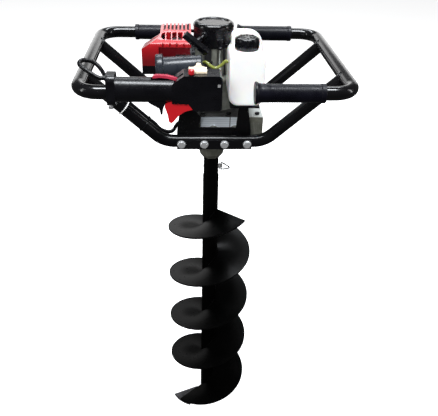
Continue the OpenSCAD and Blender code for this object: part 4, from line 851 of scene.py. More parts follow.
# %% Grips
FRAME_Y = 200.0
GRIP_LENGTH = 126.0
RIBS_FROM = 29.0
RIBS_TO = GRIP_LENGTH - 10
GRIP_STEP = 2.9
SLEEVE = [(12.6, 5.0), (12.6, GRIP_LENGTH), (16.2, GRIP_LENGTH), (17.1, GRIP_LENGTH - 1),
    (17.2, GRIP_LENGTH - 7.5), (16.5, GRIP_LENGTH - 8.5), (16.0, GRIP_LENGTH - 9), (16.0, 27.0),
    (16.5, 26.0), (16.6, 12.0), (17.4, 7.0), (19.2, 4.6), (20.0, 3.4), (20.0, 1.2), (19.0, 0.2),
    (17.0, 0.0), (3.0, 0.0), (0.0, 0.0), (0.0, 5.0)]
GRIP_RIB = [(15.6, -1.0), (16.35, -0.75), (16.6, 0.0), (16.35, 0.75), (15.6, 1.0)]
GRIPS = [("grip_front_right", "front_right_grip", 65, -FRAME_Y, 1),
    ("grip_rear_right", "rear_right_grip", 65, FRAME_Y, 1),
    ("grip_rear_left", "rear_left_grip", -46, FRAME_Y, -1)]

for name, node_name, inner_x, y, way in GRIPS:
    start = Vector((inner_x, y, HANDLE_Z))
    outward = Vector((way, 0, 0))
    sleeve = mesh_object(name + "_sleeve", *turned(SLEEVE, start, outward, sides=72), 30)
    run = [start * MM + outward * (reach * MM) for reach in (RIBS_FROM, RIBS_TO)]
    rib = turned(GRIP_RIB, ORIGIN, UP, sides=72)
    ribs = ribbed(name + "_ribs", run, rib, GRIP_STEP * MM, "grip_rubber")
    finish_piece(joined(name, [sleeve, ribs]), "grip_rubber", [node_name])
print("grips:", len(GRIPS))

# %% [markdown]
# ## Blocks with pieces cut away
# Moulded covers are easiest to see as a block from which other blocks are taken. `prism` draws a flat
# outline out along one direction, `cut` takes one block from another with an exact Boolean, and
# `softened` rounds the edges that are there so far. Each step is baked, so the order is plain.
# `second_finish` gives some faces another finish, picked by where they lie.

# %% Cutting helpers
ALONG_X = (Vector((0, 1, 0)), Vector((0, 0, 1)), Vector((1, 0, 0)))
ALONG_Y = (Vector((1, 0, 0)), Vector((0, 0, 1)), Vector((0, 1, 0)))
ALONG_Z = (Vector((1, 0, 0)), Vector((0, 1, 0)), Vector((0, 0, 1)))


def prism(outline, low, high, axes, base=ORIGIN):
    """A flat outline in millimetres drawn out along the third axis."""
    first, second, out = axes
    count = len(outline)
    points = [(Vector(base) + a * first + b * second + level * out) * MM
        for level in (low, high) for a, b in outline]
    faces = [tuple(range(count)), tuple(range(count, 2 * count))]
    for k in range(count):
        m = (k + 1) % count
        faces.append((k, m, count + m, count + k))
    return points, faces


def block(low, high):
    return prism([(low[0], low[1]), (high[0], low[1]), (high[0], high[1]), (low[0], high[1])],
        low[2], high[2], ALONG_Z)


def arc(x, y, radius, start, sweep, steps):
    """Points on a circle, from a start angle through a sweep, in degrees."""
    angles = [math.radians(start + sweep * k / steps) for k in range(steps + 1)]
    return [(x + radius * math.cos(angle), y + radius * math.sin(angle)) for angle in angles]


def rounded(low, high, radius):
    """The outline of a rectangle with round corners."""
    corners = [(high[0] - radius, high[1] - radius, 0), (low[0] + radius, high[1] - radius, 90),
        (low[0] + radius, low[1] + radius, 180), (high[0] - radius, low[1] + radius, 270)]
    return [point for x, y, start in corners for point in arc(x, y, radius, start, 90, 6)]


def baked(obj, sharp_angle=35):
    """The same object with its modifiers turned into plain mesh."""
    mesh = live_mesh(obj)
    obj.modifiers.clear()
    obj.data = mesh
    shade(mesh, sharp_angle)
    return obj


def cut(obj, tool, operation="DIFFERENCE"):
    knife = obj.modifiers.new("cut", "BOOLEAN")
    knife.operation = operation
    knife.solver = "EXACT"
    knife.object = tool
    baked(obj)
    bpy.data.objects.remove(tool)
    return obj


def softened(obj, radius, angle=25):
    bevel(obj, radius * MM, segments=3, angle=angle)
    return baked(obj)


def second_finish(obj, slot, chosen):
    """Gives the faces whose middle is chosen another finish, and counts them."""
    obj.data.materials.append(finishes[slot])
    picked = 0
    for polygon in obj.data.polygons:
        polygon.material_index = 1 if chosen(obj.matrix_world @ polygon.center) else 0
        picked += polygon.material_index
    return picked


print("cutting helpers ready")

# %% [markdown]
# ## Rows of one shape
# Slots, windows and ribs repeat at an even step. A second tree lays copies of one shape along a line,
# and can turn each copy a little further round the upright axis, which makes a ring of them.

# %% Row tree
def row_tree():
    tree = new_tree("rows_of_a_shape", {"Start": "Geometry", "Shape": "Object", "Count": "Int",
        "Step": "Vector", "Turn": "Float", "Finish": "Material"}, "Row")
    add = tree.nodes.new
    link = tree.links.new
    start = add("NodeGroupInput")
    places = add("GeometryNodeMeshLine")
    shape = add("GeometryNodeObjectInfo")
    number = add("GeometryNodeInputIndex")
    angle = add("ShaderNodeMath")
    angle.operation = "MULTIPLY"
    upright = add("ShaderNodeCombineXYZ")
    spin = add("FunctionNodeEulerToRotation")
    copies = add("GeometryNodeInstanceOnPoints")
    link(start.outputs["Count"], places.inputs["Count"])
    link(start.outputs["Step"], places.inputs["Offset"])
    link(start.outputs["Shape"], shape.inputs["Object"])
    link(number.outputs["Index"], angle.inputs[0])
    link(start.outputs["Turn"], angle.inputs[1])
    link(angle.outputs[0], upright.inputs["Z"])
    link(upright.outputs["Vector"], spin.inputs["Euler"])
    link(places.outputs["Mesh"], copies.inputs["Points"])
    link(shape.outputs["Geometry"], copies.inputs["Instance"])
    link(spin.outputs["Rotation"], copies.inputs["Rotation"])
    end_tree(tree, start, copies, "Row")
    return tree


rows_of_a_shape = row_tree()
row_socket = {item.name: item.identifier for item in rows_of_a_shape.interface.items_tree}


def row(name, shape, count, slot, step=ORIGIN, turn=0):
    """Copies of one object, which is used up; step in millimetres, turn in degrees."""
    made = mesh_object(name, [ORIGIN], [])
    nodes = made.modifiers.new("row", "NODES")
    nodes.node_group = rows_of_a_shape
    nodes[row_socket["Shape"]] = shape
    nodes[row_socket["Count"]] = count
    nodes[row_socket["Step"]] = [value * MM for value in step]
    nodes[row_socket["Turn"]] = math.radians(turn)
    nodes[row_socket["Finish"]] = finishes[slot]
    baked(made)
    bpy.data.objects.remove(shape)
    return made


print("row tree inputs:", sorted(row_socket))

# %% [markdown]
# ## Red shroud
# The shroud is a thin hood over the cylinder. Its body is what two outlines have in common, one seen
# from the front and one from the end, less the space above a bevel at the left that leans back. It is
# rounded and then hollowed by the same shape, one wall smaller.

# %% Shroud body
HOOD_LEFT = -141.0
HOOD_RIGHT = -45.0
HOOD_FRONT = -50.0
HOOD_REAR = 54.0
HOOD_LOW = 1004.0
HOOD_TOP = 1078.0
HOOD_WALL = 2.5
HOOD_OPEN = 5.0
HOOD_EDGE = 2.6
BEVEL_Z = 1054.0
KNEE_X = -115.0
KNEE_Z = 1070.5
CREST_X = -98.0
BEVEL_CORNER = -106.0
BEVEL_WALL = 3.1
LEDGE_Z = 1064.0
SLOPE_Y = -42.0
SLOPE_Z = 1069.0
CREST_Y = -3.0
bevel_tilt = Matrix.Rotation(math.radians(-32.4), 3, "Y") @ Matrix.Rotation(math.radians(-8.2), 3, "X")
BEVEL = tuple(bevel_tilt @ axis for axis in ALONG_Z)


def hood(name, wall, opening):
    """The hood's outside, or its inside where a wall and an open side are given."""
    left, right = HOOD_LEFT + wall, HOOD_RIGHT + opening
    front, rear = HOOD_FRONT + wall, HOOD_REAR - wall
    low, top = HOOD_LOW - opening, HOOD_TOP - wall
    from_front = [(left, low), (left, BEVEL_Z - wall), (KNEE_X + wall, KNEE_Z - wall),
        (CREST_X + wall, top), (right, top), (right, low)]
    from_end = [(front, low), (front, LEDGE_Z - wall), (SLOPE_Y + wall, SLOPE_Z - wall), (CREST_Y, top),
        (rear, top), (rear, low)]
    body = mesh_object(name, *prism(from_front, front, rear, ALONG_Y))
    return cut(body, mesh_object(name + "_end", *prism(from_end, left, right, ALONG_X)), "INTERSECT")


def leaning(lift, corner):
    """The space above the left bevel, which leans back as it runs to the rear."""
    footprint = [(-60, -40), (80, -40), (80, 140), (-60, 140)]
    foot = (HOOD_LEFT, HOOD_FRONT, BEVEL_Z - lift)
    above_it = mesh_object("lean", *prism(footprint, 0, 60, BEVEL, foot))
    lean_end = mesh_object("lean_end", *block((-170, -80, 990), (corner, 90, 1120)))
    return cut(above_it, lean_end, "INTERSECT")


shroud = hood("red_shroud", 0, 0)
cut(shroud, leaning(0, BEVEL_CORNER))
softened(shroud, HOOD_EDGE)
inside = hood("shroud_inside", HOOD_WALL, HOOD_OPEN)
cut(inside, leaning(BEVEL_WALL, BEVEL_CORNER + HOOD_WALL))
cut(shroud, inside)
print("shroud body faces:", len(shroud.data.polygons))

# %% [markdown]
# ## Openings of the shroud
# Cooling air leaves through a comb of seven slots in the top and five windows on the slope, the last
# of them with a round end. Four notches sit under the ledge, a shallow groove runs along the bevel, and
# the front below the ledge is open for a sunk panel. Each row is one tool copied by the row tree.

# %% Shroud openings
SLOT_STEP = -7.8
WINDOW_STEP = -11.4
NOTCH_STEP = -13.6
WINDOW_LOW = 2.5
WINDOW_HIGH = 33.0
WINDOW_DEPTH = (-9, 8)
GROOVE_DEPTH = (-1.2, 6)
slope_angle = math.atan2(HOOD_TOP - SLOPE_Z, CREST_Y - SLOPE_Y)
SLOPE = (Vector((1, 0, 0)), Vector((0, math.cos(slope_angle), math.sin(slope_angle))),
    Vector((0, -math.sin(slope_angle), math.cos(slope_angle))))
SLOPE_FOOT = (0, SLOPE_Y, SLOPE_Z)
ROUND_END = [(-95.6, WINDOW_LOW), (-95.6, WINDOW_HIGH), (-99, 31.5), (-102, 27.5), (-103.6, 21),
    (-103.6, 14), (-102, 7.5), (-99, 3.6)]

slot_tool = mesh_object("slot", *block((-53, 3, 1064), (-48.6, 60, 1084)))
cut(shroud, row("slots", slot_tool, 7, "red_plastic", step=(SLOT_STEP, 0, 0)))
pane = rounded((-59.4, WINDOW_LOW), (-50, WINDOW_HIGH), 1.6)
window = mesh_object("window", *prism(pane, *WINDOW_DEPTH, SLOPE, SLOPE_FOOT))
cut(shroud, row("windows", window, 4, "red_plastic", step=(WINDOW_STEP, 0, 0)))
cut(shroud, mesh_object("end_window", *prism(ROUND_END, *WINDOW_DEPTH, SLOPE, SLOPE_FOOT)))
notch = mesh_object("notch", *prism([(-62, -53), (-55.5, -53), (-58.8, -46.5)], 1058, 1068, ALONG_Z))
cut(shroud, row("notches", notch, 4, "red_plastic", step=(NOTCH_STEP, 0, 0)))
cut(shroud, mesh_object("sunk_front", *block((-108, -60, 990), (-30, -47, 1057.5))))
cut(shroud, mesh_object("silencer_way", *block((-125, 30, 992), (-30, 60, 1048))))
groove = prism(rounded((7, 7), (31, 84), 5), *GROOVE_DEPTH, BEVEL, (HOOD_LEFT, HOOD_FRONT, BEVEL_Z))
cut(shroud, mesh_object("groove", *groove))
print("shroud faces with openings:", len(shroud.data.polygons))

# %% [markdown]
# ## Panel and skirt of the shroud
# The sunk panel and the posts behind the windows are blocks joined to the hood. The skirt is black, so
# the mesh is cut once at its height, and the faces below take a second finish.

# %% Shroud skirt
SKIRT_TOP = 1.021
PANEL_Y = PANEL_FRONT / MM
PANEL_REAR = PANEL_Y + 2
PANEL_HIGH = 1066.5
POST_X = (-60, -91)
sunk_panel = mesh_object("sunk_panel", *block((-111, PANEL_Y, 1008), (-75.5, PANEL_REAR, PANEL_HIGH)))
sunk_lintel = mesh_object("sunk_lintel", *block((-75.6, PANEL_Y, 1042), (-47, PANEL_REAR, PANEL_HIGH)))
posts = [mesh_object("post", *block((x - 4, -9, 1057.2), (x + 4, -3, 1075))) for x in POST_X]
shroud = joined("red_shroud", [shroud, sunk_panel, sunk_lintel, *posts])
halves = bmesh.new()
halves.from_mesh(shroud.data)
bmesh.ops.bisect_plane(halves, geom=[*halves.verts, *halves.edges, *halves.faces], dist=1e-7,
    plane_co=(0, 0, SKIRT_TOP), plane_no=UP)
halves.to_mesh(shroud.data)
halves.free()
shade(shroud.data, 30)
finish_piece(shroud, "red_plastic", ["engine_shroud"])
second_finish(shroud, "black_plastic", lambda spot: spot.z < SKIRT_TOP)
print("shroud faces:", len(shroud.data.polygons))

# %% [markdown]
# ## Starter cup
# The recoil starter sits in a moulded cup with a broad rounded rim and a sunk disc on top. A lip
# under the rim throws a thin shadow. The cup is a turned profile with the holes for coil and rope cut
# out and its boss and lugs joined on. The rim and the disc are glossier, so they take a second finish.

# %% Starter cup
UPPER_Z = 1052.0
EXIT_Z = 1079.0
EXIT_ANGLE = math.radians(243)
HOLE_RADIUS = 2.3
GLOSSY_FROM = 39.0
LUG_REACH = 44.5
CUP = [(37, 0.1), (39.9, 0.1), (39.9, 33.0), (39.1, 33.6), (39.1, 35.0), (40.5, 35.6), (40.5, 38.6),
    (40.0, 40.8), (38.8, 42.6), (37.2, 43.8), (35.4, 44.6), (33.6, 45.0), (31.4, 44.8), (30.0, 44.0),
    (29.2, 42.8), (28.6, 42.6), (28.2, 42.6), (0.0, 42.6), (0.0, 40.5), (37, 40.5)]
ROPE_HOLE = [(0.0, 31), (HOLE_RADIUS, 31), (HOLE_RADIUS, 50), (0.0, 50)]
BOSS = [(HOLE_RADIUS, 37.6), (6.0, 37.6), (6.0, 45.6), (5.4, 46.8), (4.4, 47.4), (2.8, 47.4),
    (HOLE_RADIUS, 46.8)]
LUG = [(1.96, 0.1), (5.0, 0.1), (5.0, 4.4), (4.4, 5.0), (1.96, 5.0)]
LUG_ANGLES = [math.radians(angle) for angle in (20, 125, 285)]
rope_way = Vector((math.cos(EXIT_ANGLE), math.sin(EXIT_ANGLE), 0))
cup_middle = (0, 0, EXIT_Z)

cup = mesh_object("cup", *turned(CUP, (0, 0, UPPER_Z), UP, sides=128))
cut(cup, mesh_object("coil_way", *block((-16, 20, 1040), (16, 43, 1066))))
cut(cup, mesh_object("rope_hole", *turned(ROPE_HOLE, cup_middle, rope_way, sides=32)))
boss = mesh_object("boss", *turned(BOSS, cup_middle, rope_way, sides=32))
lug_spots = [(LUG_REACH * math.cos(angle), LUG_REACH * math.sin(angle), UPPER_Z) for angle in LUG_ANGLES]
lugs = [mesh_object("lug", *turned(LUG, spot, UP, sides=32)) for spot in lug_spots]
rest_block = softened(mesh_object("rest", *block((22, -44, 1058), (36, -30, 1063))), 0.8)
front_rib = softened(mesh_object("front_rib", *block((5.5, -42, 1053), (17, -36, 1071))), 0.8)
cup = joined("starter_cup", [cup, boss, *lugs, rest_block, front_rib])
shade(cup.data, 40)
finish_piece(cup, "black_plastic", ["starter_housing"])
second_finish(cup, "frame_paint", lambda spot: spot.z > (UPPER_Z + GLOSSY_FROM) * MM)
print("cup faces:", len(cup.data.polygons))

# %% [markdown]
# ## Starter grip and rope
# The T-shaped grip hangs on the rope at the front left. The rope stretches from the cup to the grip
# when it is pulled; here it is one straight tube between them.

# %% Starter grip and rope
PULL_AT = Vector((-36, -70, 1071))
BAR_ANGLE = math.radians(129)
BOSS_END = 47.5
BAR_LENGTH = 56.0
BAR_WIDTH = 12.0
BAR_HALF = 6.4
STEM_END = 20.05
ROPE_GAP = 0.6
ROPE_RADIUS = 1.8
ROPE_STEPS = 12
STEM = [(0.0, 4.0), (6.4, 4.0), (6.2, 9.0), (5.2, 13.0), (4.7, 19.0), (4.0, 20.0), (0.0, 20.0)]
exit_at = BOSS_END * rope_way + Vector(cup_middle)
stem_way = (exit_at - PULL_AT).normalized()
bar_way = Vector((math.sin(BAR_ANGLE), 0, math.cos(BAR_ANGLE)))
stem_side = bar_way.cross(stem_way).normalized()
bar_axes = (bar_way, stem_side, stem_side.cross(bar_way))

bar_outline = rounded((-BAR_LENGTH / 2, -BAR_WIDTH / 2), (BAR_LENGTH / 2, BAR_WIDTH / 2), 2.4)
bar = mesh_object("bar", *prism(bar_outline, -BAR_HALF, BAR_HALF, bar_axes, PULL_AT))
softened(bar, 1.8, 40)
stem = mesh_object("stem", *turned(STEM, PULL_AT, stem_way, sides=40))
finish_piece(joined("pull_grip", [bar, stem]), "black_plastic", ["starter_grip"])

rope_run = (exit_at - PULL_AT).length - STEM_END - ROPE_GAP
rope_stops = [STEM_END + k * rope_run / ROPE_STEPS for k in range(ROPE_STEPS + 1)]
rope_path = [(PULL_AT + stem_way * stop) * MM for stop in rope_stops]
rope = coated(mesh_object("pull_rope", *carried(rope_path, ROPE_RADIUS * MM, sides=16)), "rope_fabric")
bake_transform(rope)
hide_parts("starter_rope")
print("rope in sight:", round(rope_run), "mm")

# %% [markdown]
# ## Fuel tank
# The tank is blow-moulded, so no edge on it is sharp. Rounded blocks are merged by a voxel remesh,
# and smoothing then melts their seams together. The filler neck stays crisp and is added afterwards.

# %% Tank
TANK_LEFT = 25.0
TANK_RIGHT = 92.0
TANK_Z = 970.0
SHOULDER_Z = 1070.5
HUMP_LEFT = 31.0
HUMP_LOW = 1030.0
HUMP_Z = 1095.0
WIDE_BEND = 28.0
SMALL_BEND = 14.0
BODY_BEND = 16.0
REAR_LEFT = 58.0
REAR_BEND = 8.0
REAR_DROP = 6.0
TANK_FRONT = -130.0
HUMP_FRONT = -72.0
FRONT_END = -46.0
REAR_START = -48.0
TANK_REAR = 40.0
VOXEL = 1.8
FILLER_RADIUS = 17.9
FILLER_BORE = 15.0
FILLER_AT = Vector((58, -100, SHOULDER_Z))
front_body = rounded((TANK_LEFT, TANK_Z), (TANK_RIGHT, SHOULDER_Z), BODY_BEND)
hump = [(HUMP_LEFT, HUMP_LOW), (TANK_RIGHT, HUMP_LOW), (TANK_RIGHT, HUMP_Z - WIDE_BEND)]
hump += arc(TANK_RIGHT - WIDE_BEND, HUMP_Z - WIDE_BEND, WIDE_BEND, 10, 80, 8)
hump += arc(HUMP_LEFT + SMALL_BEND, HUMP_Z - SMALL_BEND, SMALL_BEND, 90, 80, 8)
rear_body = rounded((REAR_LEFT, TANK_Z), (TANK_RIGHT, SHOULDER_Z - REAR_DROP), REAR_BEND)
tank_blocks = [mesh_object("tank_front", *prism(front_body, TANK_FRONT, FRONT_END, ALONG_Y)),
    mesh_object("tank_hump", *prism(hump, HUMP_FRONT, FRONT_END, ALONG_Y)),
    mesh_object("tank_rear", *prism(rear_body, REAR_START, TANK_REAR, ALONG_Y))]
tank = joined("tank", tank_blocks)
melt = tank.modifiers.new("melt", "REMESH")
melt.mode = "VOXEL"
melt.voxel_size = VOXEL * MM
soften = tank.modifiers.new("soften", "SMOOTH")
soften.factor = 0.5
soften.iterations = 12
baked(tank, 60)
NECK = [(FILLER_BORE, -3.0), (FILLER_RADIUS, -3.0), (FILLER_RADIUS, 17.5), (FILLER_BORE, 17.5)]
neck = mesh_object("neck", *turned(NECK, FILLER_AT, UP, sides=64))
tank = joined("tank_shell", [tank, neck])
finish_piece(tank, "tank_plastic", ["fuel_tank"])
print("tank faces:", len(tank.data.polygons))

# %% [markdown]
# ## Filler cap
# The cap has a sloping shoulder, twelve finger ribs round its side and eight low ridges on its top.
# Both sets are rings made by the row tree, with no step and an even turn. The top is glossier.

# %% Filler cap
FINGERS = 12
RIDGES = 8
FINGER_REACH = 20.9
CAP_TOP = 21.0
CAP = [(18.5, 1.0), (21.5, 1.0), (22.0, 1.6), (22.0, 19.6), (21.6, 20.6), (20.4, 21.6), (17.0, 22.8),
    (16.6, 22.8), (0.0, 22.8), (0.0, 19.0), (18.5, 19.0)]
FINGER = [(0.0, 3.0), (1.6, 3.0), (2.0, 3.6), (2.0, 18.6), (1.2, 20.2), (0.0, 20.6)]
cap_shell = mesh_object("cap_shell", *turned(CAP, ORIGIN, UP, sides=96))
finger = mesh_object("finger", *turned(FINGER, (FINGER_REACH, 0, 0), UP, sides=24))
ridge = softened(mesh_object("ridge", *block((7, -1.9, 22.4), (16.4, 1.9, 23.9))), 0.7)
fingers = row("fingers", finger, FINGERS, "black_plastic", turn=360 / FINGERS)
ridges = row("ridges", ridge, RIDGES, "black_plastic", turn=360 / RIDGES)
cap = joined("filler_cap", [cap_shell, fingers, ridges])
cap.data.transform(Matrix.Translation(FILLER_AT * MM))
finish_piece(cap, slot_of["fuel_cap"], ["fuel_cap"])
second_finish(cap, "frame_paint", lambda spot: spot.z > (SHOULDER_Z + CAP_TOP) * MM)
print("cap faces:", len(cap.data.polygons))

# %% [markdown]
# ## Air cleaner
# The cleaner is a drum that lies across the front of the engine, a little higher at its right. It has
# a wide flange at the left, a seam round the drum, and a shallow dish in its right end.

# %% Air cleaner
DRUM_TILT = math.radians(4)
DRUM_AT = Vector((-60, -105, 1035))
DRUM = [(0.0, -51.0), (24.0, -51.0), (27.0, -50.2), (28.0, -48.6), (28.0, -39.2), (27.2, -37.4),
    (25.4, -36.6), (23.0, -36.2), (22.0, -35.0), (22.0, 24.0), (21.4, 24.6), (21.4, 25.8), (22.0, 26.4),
    (22.0, 32.4), (21.4, 34.6), (19.8, 35.8), (17.4, 36.0), (16.4, 34.8), (0.0, 34.4)]
drum_way = Vector((math.cos(DRUM_TILT), 0, math.sin(DRUM_TILT)))
drum = mesh_object("drum", *turned(DRUM, DRUM_AT, drum_way, sides=96))
mount = mesh_object("mount", *prism(rounded((-74, 1014), (-46, 1050), 6), DRUM_AT.y, -82.6, ALONG_Y))
cleaner = joined("cleaner_drum", [drum, mount])
finish_piece(cleaner, "cleaner_plastic", ["air_cleaner"])
print("cleaner faces:", len(cleaner.data.polygons))

# %% [markdown]
# ## Stop switch
# The switch is a pale block with a low wall behind it, which rises to a small roof in the middle. Its
# red knob slides along the front of the block and is held by an arm over the block's top.

# %% Stop switch
SWITCH_Z = 1056.5
SWITCH_BACK = -189.0
KNOB_AT = Vector((-46, -208.7, SWITCH_Z))
WALL = [(-50.5, 2), (-19.5, 2), (-19.5, 7.8), (-24, 7.8), (-26.5, 8.7), (-29, 11.5), (-30.2, 15),
    (-36.8, 15), (-38, 11.5), (-40.5, 8.7), (-43, 7.8), (-50.5, 7.8)]
KNOB = [(0.0, 0.8), (4.6, 0.8), (5.4, 1.6), (5.4, 7.6), (4.8, 8.9), (3.4, 9.6), (0.0, 9.8)]
base = mesh_object("base", *block((-51, -203, SWITCH_Z + FACE_GAP), (-19, SWITCH_BACK, SWITCH_Z + 5)))
outline = [(x, SWITCH_Z + rise) for x, rise in WALL]
wall = mesh_object("wall", *prism(outline, SWITCH_BACK - 6, SWITCH_BACK, ALONG_Y))
house = joined("switch_house", [softened(base, 0.6), softened(wall, 0.5)])
finish_piece(house, slot_of["switch_body"], ["switch_body"])
dome = mesh_object("dome", *turned(KNOB, KNOB_AT, UP, sides=48))
arm = mesh_object("arm", *block((-49, -207, SWITCH_Z + 5.2), (-43, -197, SWITCH_Z + 7)))
knob = joined("switch_knob", [dome, softened(arm, 0.4)])
finish_piece(knob, slot_of["switch_slider"], ["switch_slider"])
print("switch faces:", len(house.data.polygons), "knob faces:", len(knob.data.polygons))

# %% [markdown]
# ## Ring of the cross pin
# A black wire ring keeps the cross pin in its socket. It is one bent wire, whose ends meet in the pin,
# and its far end droops.

# %% Pin ring
PIN_Z = 775.0
RING_X = 22.75
RING_HALF = 8.0
WIRE_RADIUS = 1.5
RING_STEPS = 6
ring_stops = [(0, 0.5), (0, 4.5), (0.6, RING_HALF), (4, 6.9), (10, 3.4), (16, -0.8), (18.8, -4.2),
    (16, -6.8), (10, -7.6), (4, -8.0), (0.6, -RING_HALF), (0, -4.5), (0, -0.5)]
ring_path = smooth_path(in_metres([(RING_X + x, 0, PIN_Z + z) for x, z in ring_stops]), RING_STEPS)
ring = mesh_object("wire_ring", *carried(ring_path, WIRE_RADIUS * MM, sides=16))
finish_piece(ring, slot_of["pin_ring"], ["pin_ring"])
print("ring wire:", round(path_length(ring_path) / MM), "mm")

# %% [markdown]
# ## Ignition lead
# The lead runs under the shroud from the coil to the plug. Its rubber boot is a short turned cup.

# %% Ignition lead
LEAD_RADIUS = 3.2
LEAD_Z = CRANK_Z + 40
lead_stops = [(-14.2, 48, LEAD_Z), (-21, 48, LEAD_Z), (-28, 48, LEAD_Z), (-46, 40, CRANK_Z + 45),
    (-68, 26, CRANK_Z + 47), (-92, 6, CRANK_Z + 44), (-104, -9, CRANK_Z + 41),
    (-113, -8, CRANK_Z + 31.5), (-120, -3, CRANK_Z + 18.5), (-126, 0, CRANK_Z + 8)]
BOOT = [(0.0, 0.0), (5.5, 0.0), (7.2, 1.2), (7.5, 3.0), (7.5, 18.0), (6.9, 19.0), (4.56, 19.0),
    (4.56, 3.0), (0.0, 3.0)]
BOOT_AT = (-133, 0, CRANK_Z)
lead_path = smooth_path(in_metres(lead_stops), PATH_STEPS)
lead = mesh_object("ignition_lead", *carried(lead_path, LEAD_RADIUS * MM, sides=20))
boot = mesh_object("plug_boot", *turned(BOOT, BOOT_AT, (1, 0, 0), sides=40))
finish_piece(lead, "black_plastic", ["plug_lead"])
finish_piece(boot, "black_plastic", [], "frame")
path_length(lead_path)
print("lead:", round(path_length(lead_path), 3), "m")

# %% [markdown]
# ## Ribs and panels on the castings
# The mould left upright panels on the crankcase, with recesses between them that hold dark blocks as
# painted shade, a row of close ribs on the right end of the gearbox, front and rear, and a short row at
# the foot of the crankcase. They are added as thin blocks sunk a little into the casting.

# %% Casting ribs
PANEL_LOW = 1000.0
PANEL_TOP = 1051.4
PANEL_BACK = -22.0
RIB_STEP = 3.6
# The second set of blocks is dark: painted shade in the recesses beside the panels.
PANELS = [("crankcase_panels", "cast_aluminium", [(-2.2, 17.5, -39.2), (23.4, 28, -35.0)]),
    ("crankcase_recess", "dark_aluminium", [(-19, -3.2, -37.6), (18.4, 22.6, -36.0)])]
RIBS = [("front_casting_ribs", (66, -76.6, 875), (68, -74, 912), 0.5, 9),
    ("rear_casting_ribs", (66, 74, 875), (68, 76.6, 912), 0.5, 9),
    ("foot_ribs", (-4, -44, 999), (-2.2, -37, 1017), 0.4, 7)]
for name, slot, strips in PANELS:
    solids = [mesh_object("panel", *block((left, front, PANEL_LOW), (right, PANEL_BACK, PANEL_TOP)))
        for left, right, front in strips]
    panels = joined(name, [softened(solid, 0.5) for solid in solids])
    finish_piece(panels, slot, [], "frame")
for name, low, high, edge, count in RIBS:
    rib = softened(mesh_object("rib", *block(low, high)), edge)
    ribs = row(name, rib, count, "cast_aluminium", step=(RIB_STEP, 0, 0))
    finish_piece(ribs, "cast_aluminium", [], "frame")
print("panel pieces:", len(PANELS), "rows of ribs:", len(RIBS))

# %% [markdown]
# ## Small parts with a second finish
# A few CAD nodes hold several fasteners, and not all of them are plated. The faces of the black ones
# are picked by where they lie, and take a second finish on the same node. The black ones are the lower
# tie, the sunk screws and the trigger's pivot, and the screws of gearbox and starter.

# %% Black fasteners
TIES_APART = -0.155
TOP_SCREW = 1.046
CASE_FOOT = 1.005
LOW_SCREWS = 1.03
LEFT_SCREW = -0.17
GEARBOX_SCREWS = 0.95
STARTER_SCREWS = 1.05


def sunk(spot):
    """The handle's top, low and left screws, and the trigger's pivot, above the case's foot."""
    return spot.z > TOP_SCREW or spot.z > CASE_FOOT and (spot.z < LOW_SCREWS or spot.x < LEFT_SCREW)


BLACK_ONES = {"cable_ties": lambda spot: spot.x > TIES_APART, "handle_fasteners": sunk,
    "engine_screws": lambda spot: spot.z < GEARBOX_SCREWS or spot.z > STARTER_SCREWS}
for name, chosen in BLACK_ONES.items():
    picked = second_finish(cad_nodes[name], "black_plastic", chosen)
    print(name, "black faces:", picked, "of", len(cad_nodes[name].data.polygons))

# %% [markdown]
# ## Floor
# A white floor runs under and behind the machine and glows a little, as an over-lit studio sweep does.
# It is kept out of reflections and bounced light, the work that black flags do in a studio, so the
# undersides stay dark.

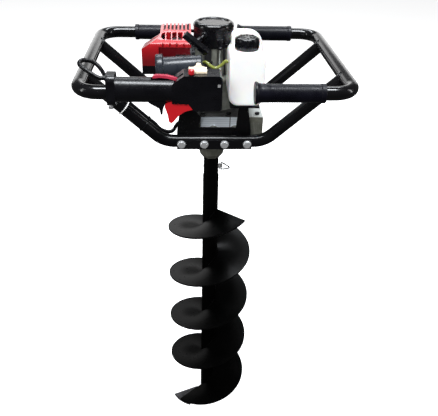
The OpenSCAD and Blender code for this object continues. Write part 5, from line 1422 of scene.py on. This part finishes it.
# %% Floor
FLOOR_HALF = 9
FLOOR_NEAR = -6
FLOOR_FAR = 12
FLOOR_Z = -0.001
floor_finish = Finish("floor", Roughness=0.9, Emission_Color=(1, 1, 1, 1), Emission_Strength=0.8)
patches = floor_finish.noise(size=0.5, detail=2)
floor_finish.wear(Base_Color=floor_finish.tint(patches, (0.93, 0.93, 0.93), (0.95, 0.95, 0.95)))
floor_corners = [(-FLOOR_HALF, FLOOR_NEAR, FLOOR_Z), (FLOOR_HALF, FLOOR_NEAR, FLOOR_Z),
    (FLOOR_HALF, FLOOR_FAR, FLOOR_Z), (-FLOOR_HALF, FLOOR_FAR, FLOOR_Z)]
floor = mesh_object("floor", floor_corners, [(0, 1, 2, 3)])
floor.data.materials.append(floor_finish.material)
floor.visible_diffuse = False
floor.visible_glossy = False

world = bpy.data.worlds.new("studio")
world.use_nodes = True
sky = world.node_tree.nodes["Background"]
sky.inputs["Color"].default_value = (1, 1, 1, 1)
sky.inputs["Strength"].default_value = 0.06
bpy.context.scene.world = world
print("floor and sky ready")

# %% [markdown]
# ## Lights
# The main light hangs overhead, and a wide backdrop and a high strip behind the machine are mirrored by
# its upward faces. The front light shows the pale and red parts, and nothing mirrors it. Two narrow
# strips draw the sides of the tubes.

# %% Lights
def soft_light(name, place, target, width, height, power, mirrored=True, color=(1, 1, 1)):
    data = bpy.data.lights.new(name, "AREA")
    data.shape = "RECTANGLE"
    data.size = width
    data.size_y = height
    data.energy = power
    data.color = color
    lamp = linked(name, data)
    lamp.location = place
    lamp.rotation_euler = (Vector(target) - Vector(place)).to_track_quat("-Z", "Y").to_euler()
    lamp.visible_glossy = mirrored


COOL = (0.92, 0.96, 1.0)
soft_light("overhead", (0.0, -0.45, 3.2), (0, 0, 0.8), width=1.8, height=0.6, power=120, color=COOL)
soft_light("backdrop", (0.0, 3.6, 1.35), (0, 0, 1.3), width=6.0, height=1.7, power=40)
soft_light("behind", (0.0, 2.2, 3.3), (0, 0, 1.0), width=2.6, height=0.5, power=46, color=COOL)
soft_light("front", (-0.7, -2.8, 2.5), (0, 0, 0.9), width=1.2, height=1.2, power=112, mirrored=False)
soft_light("left_strip", (-2.4, -0.8, 1.7), (0, 0, 0.9), width=0.25, height=1.6, power=10)
soft_light("right_strip", (2.4, -0.4, 1.8), (0, 0, 0.9), width=0.25, height=1.6, power=10)
bpy.context.scene.view_settings.view_transform = "Standard"
print("lights:", len(bpy.data.lights))
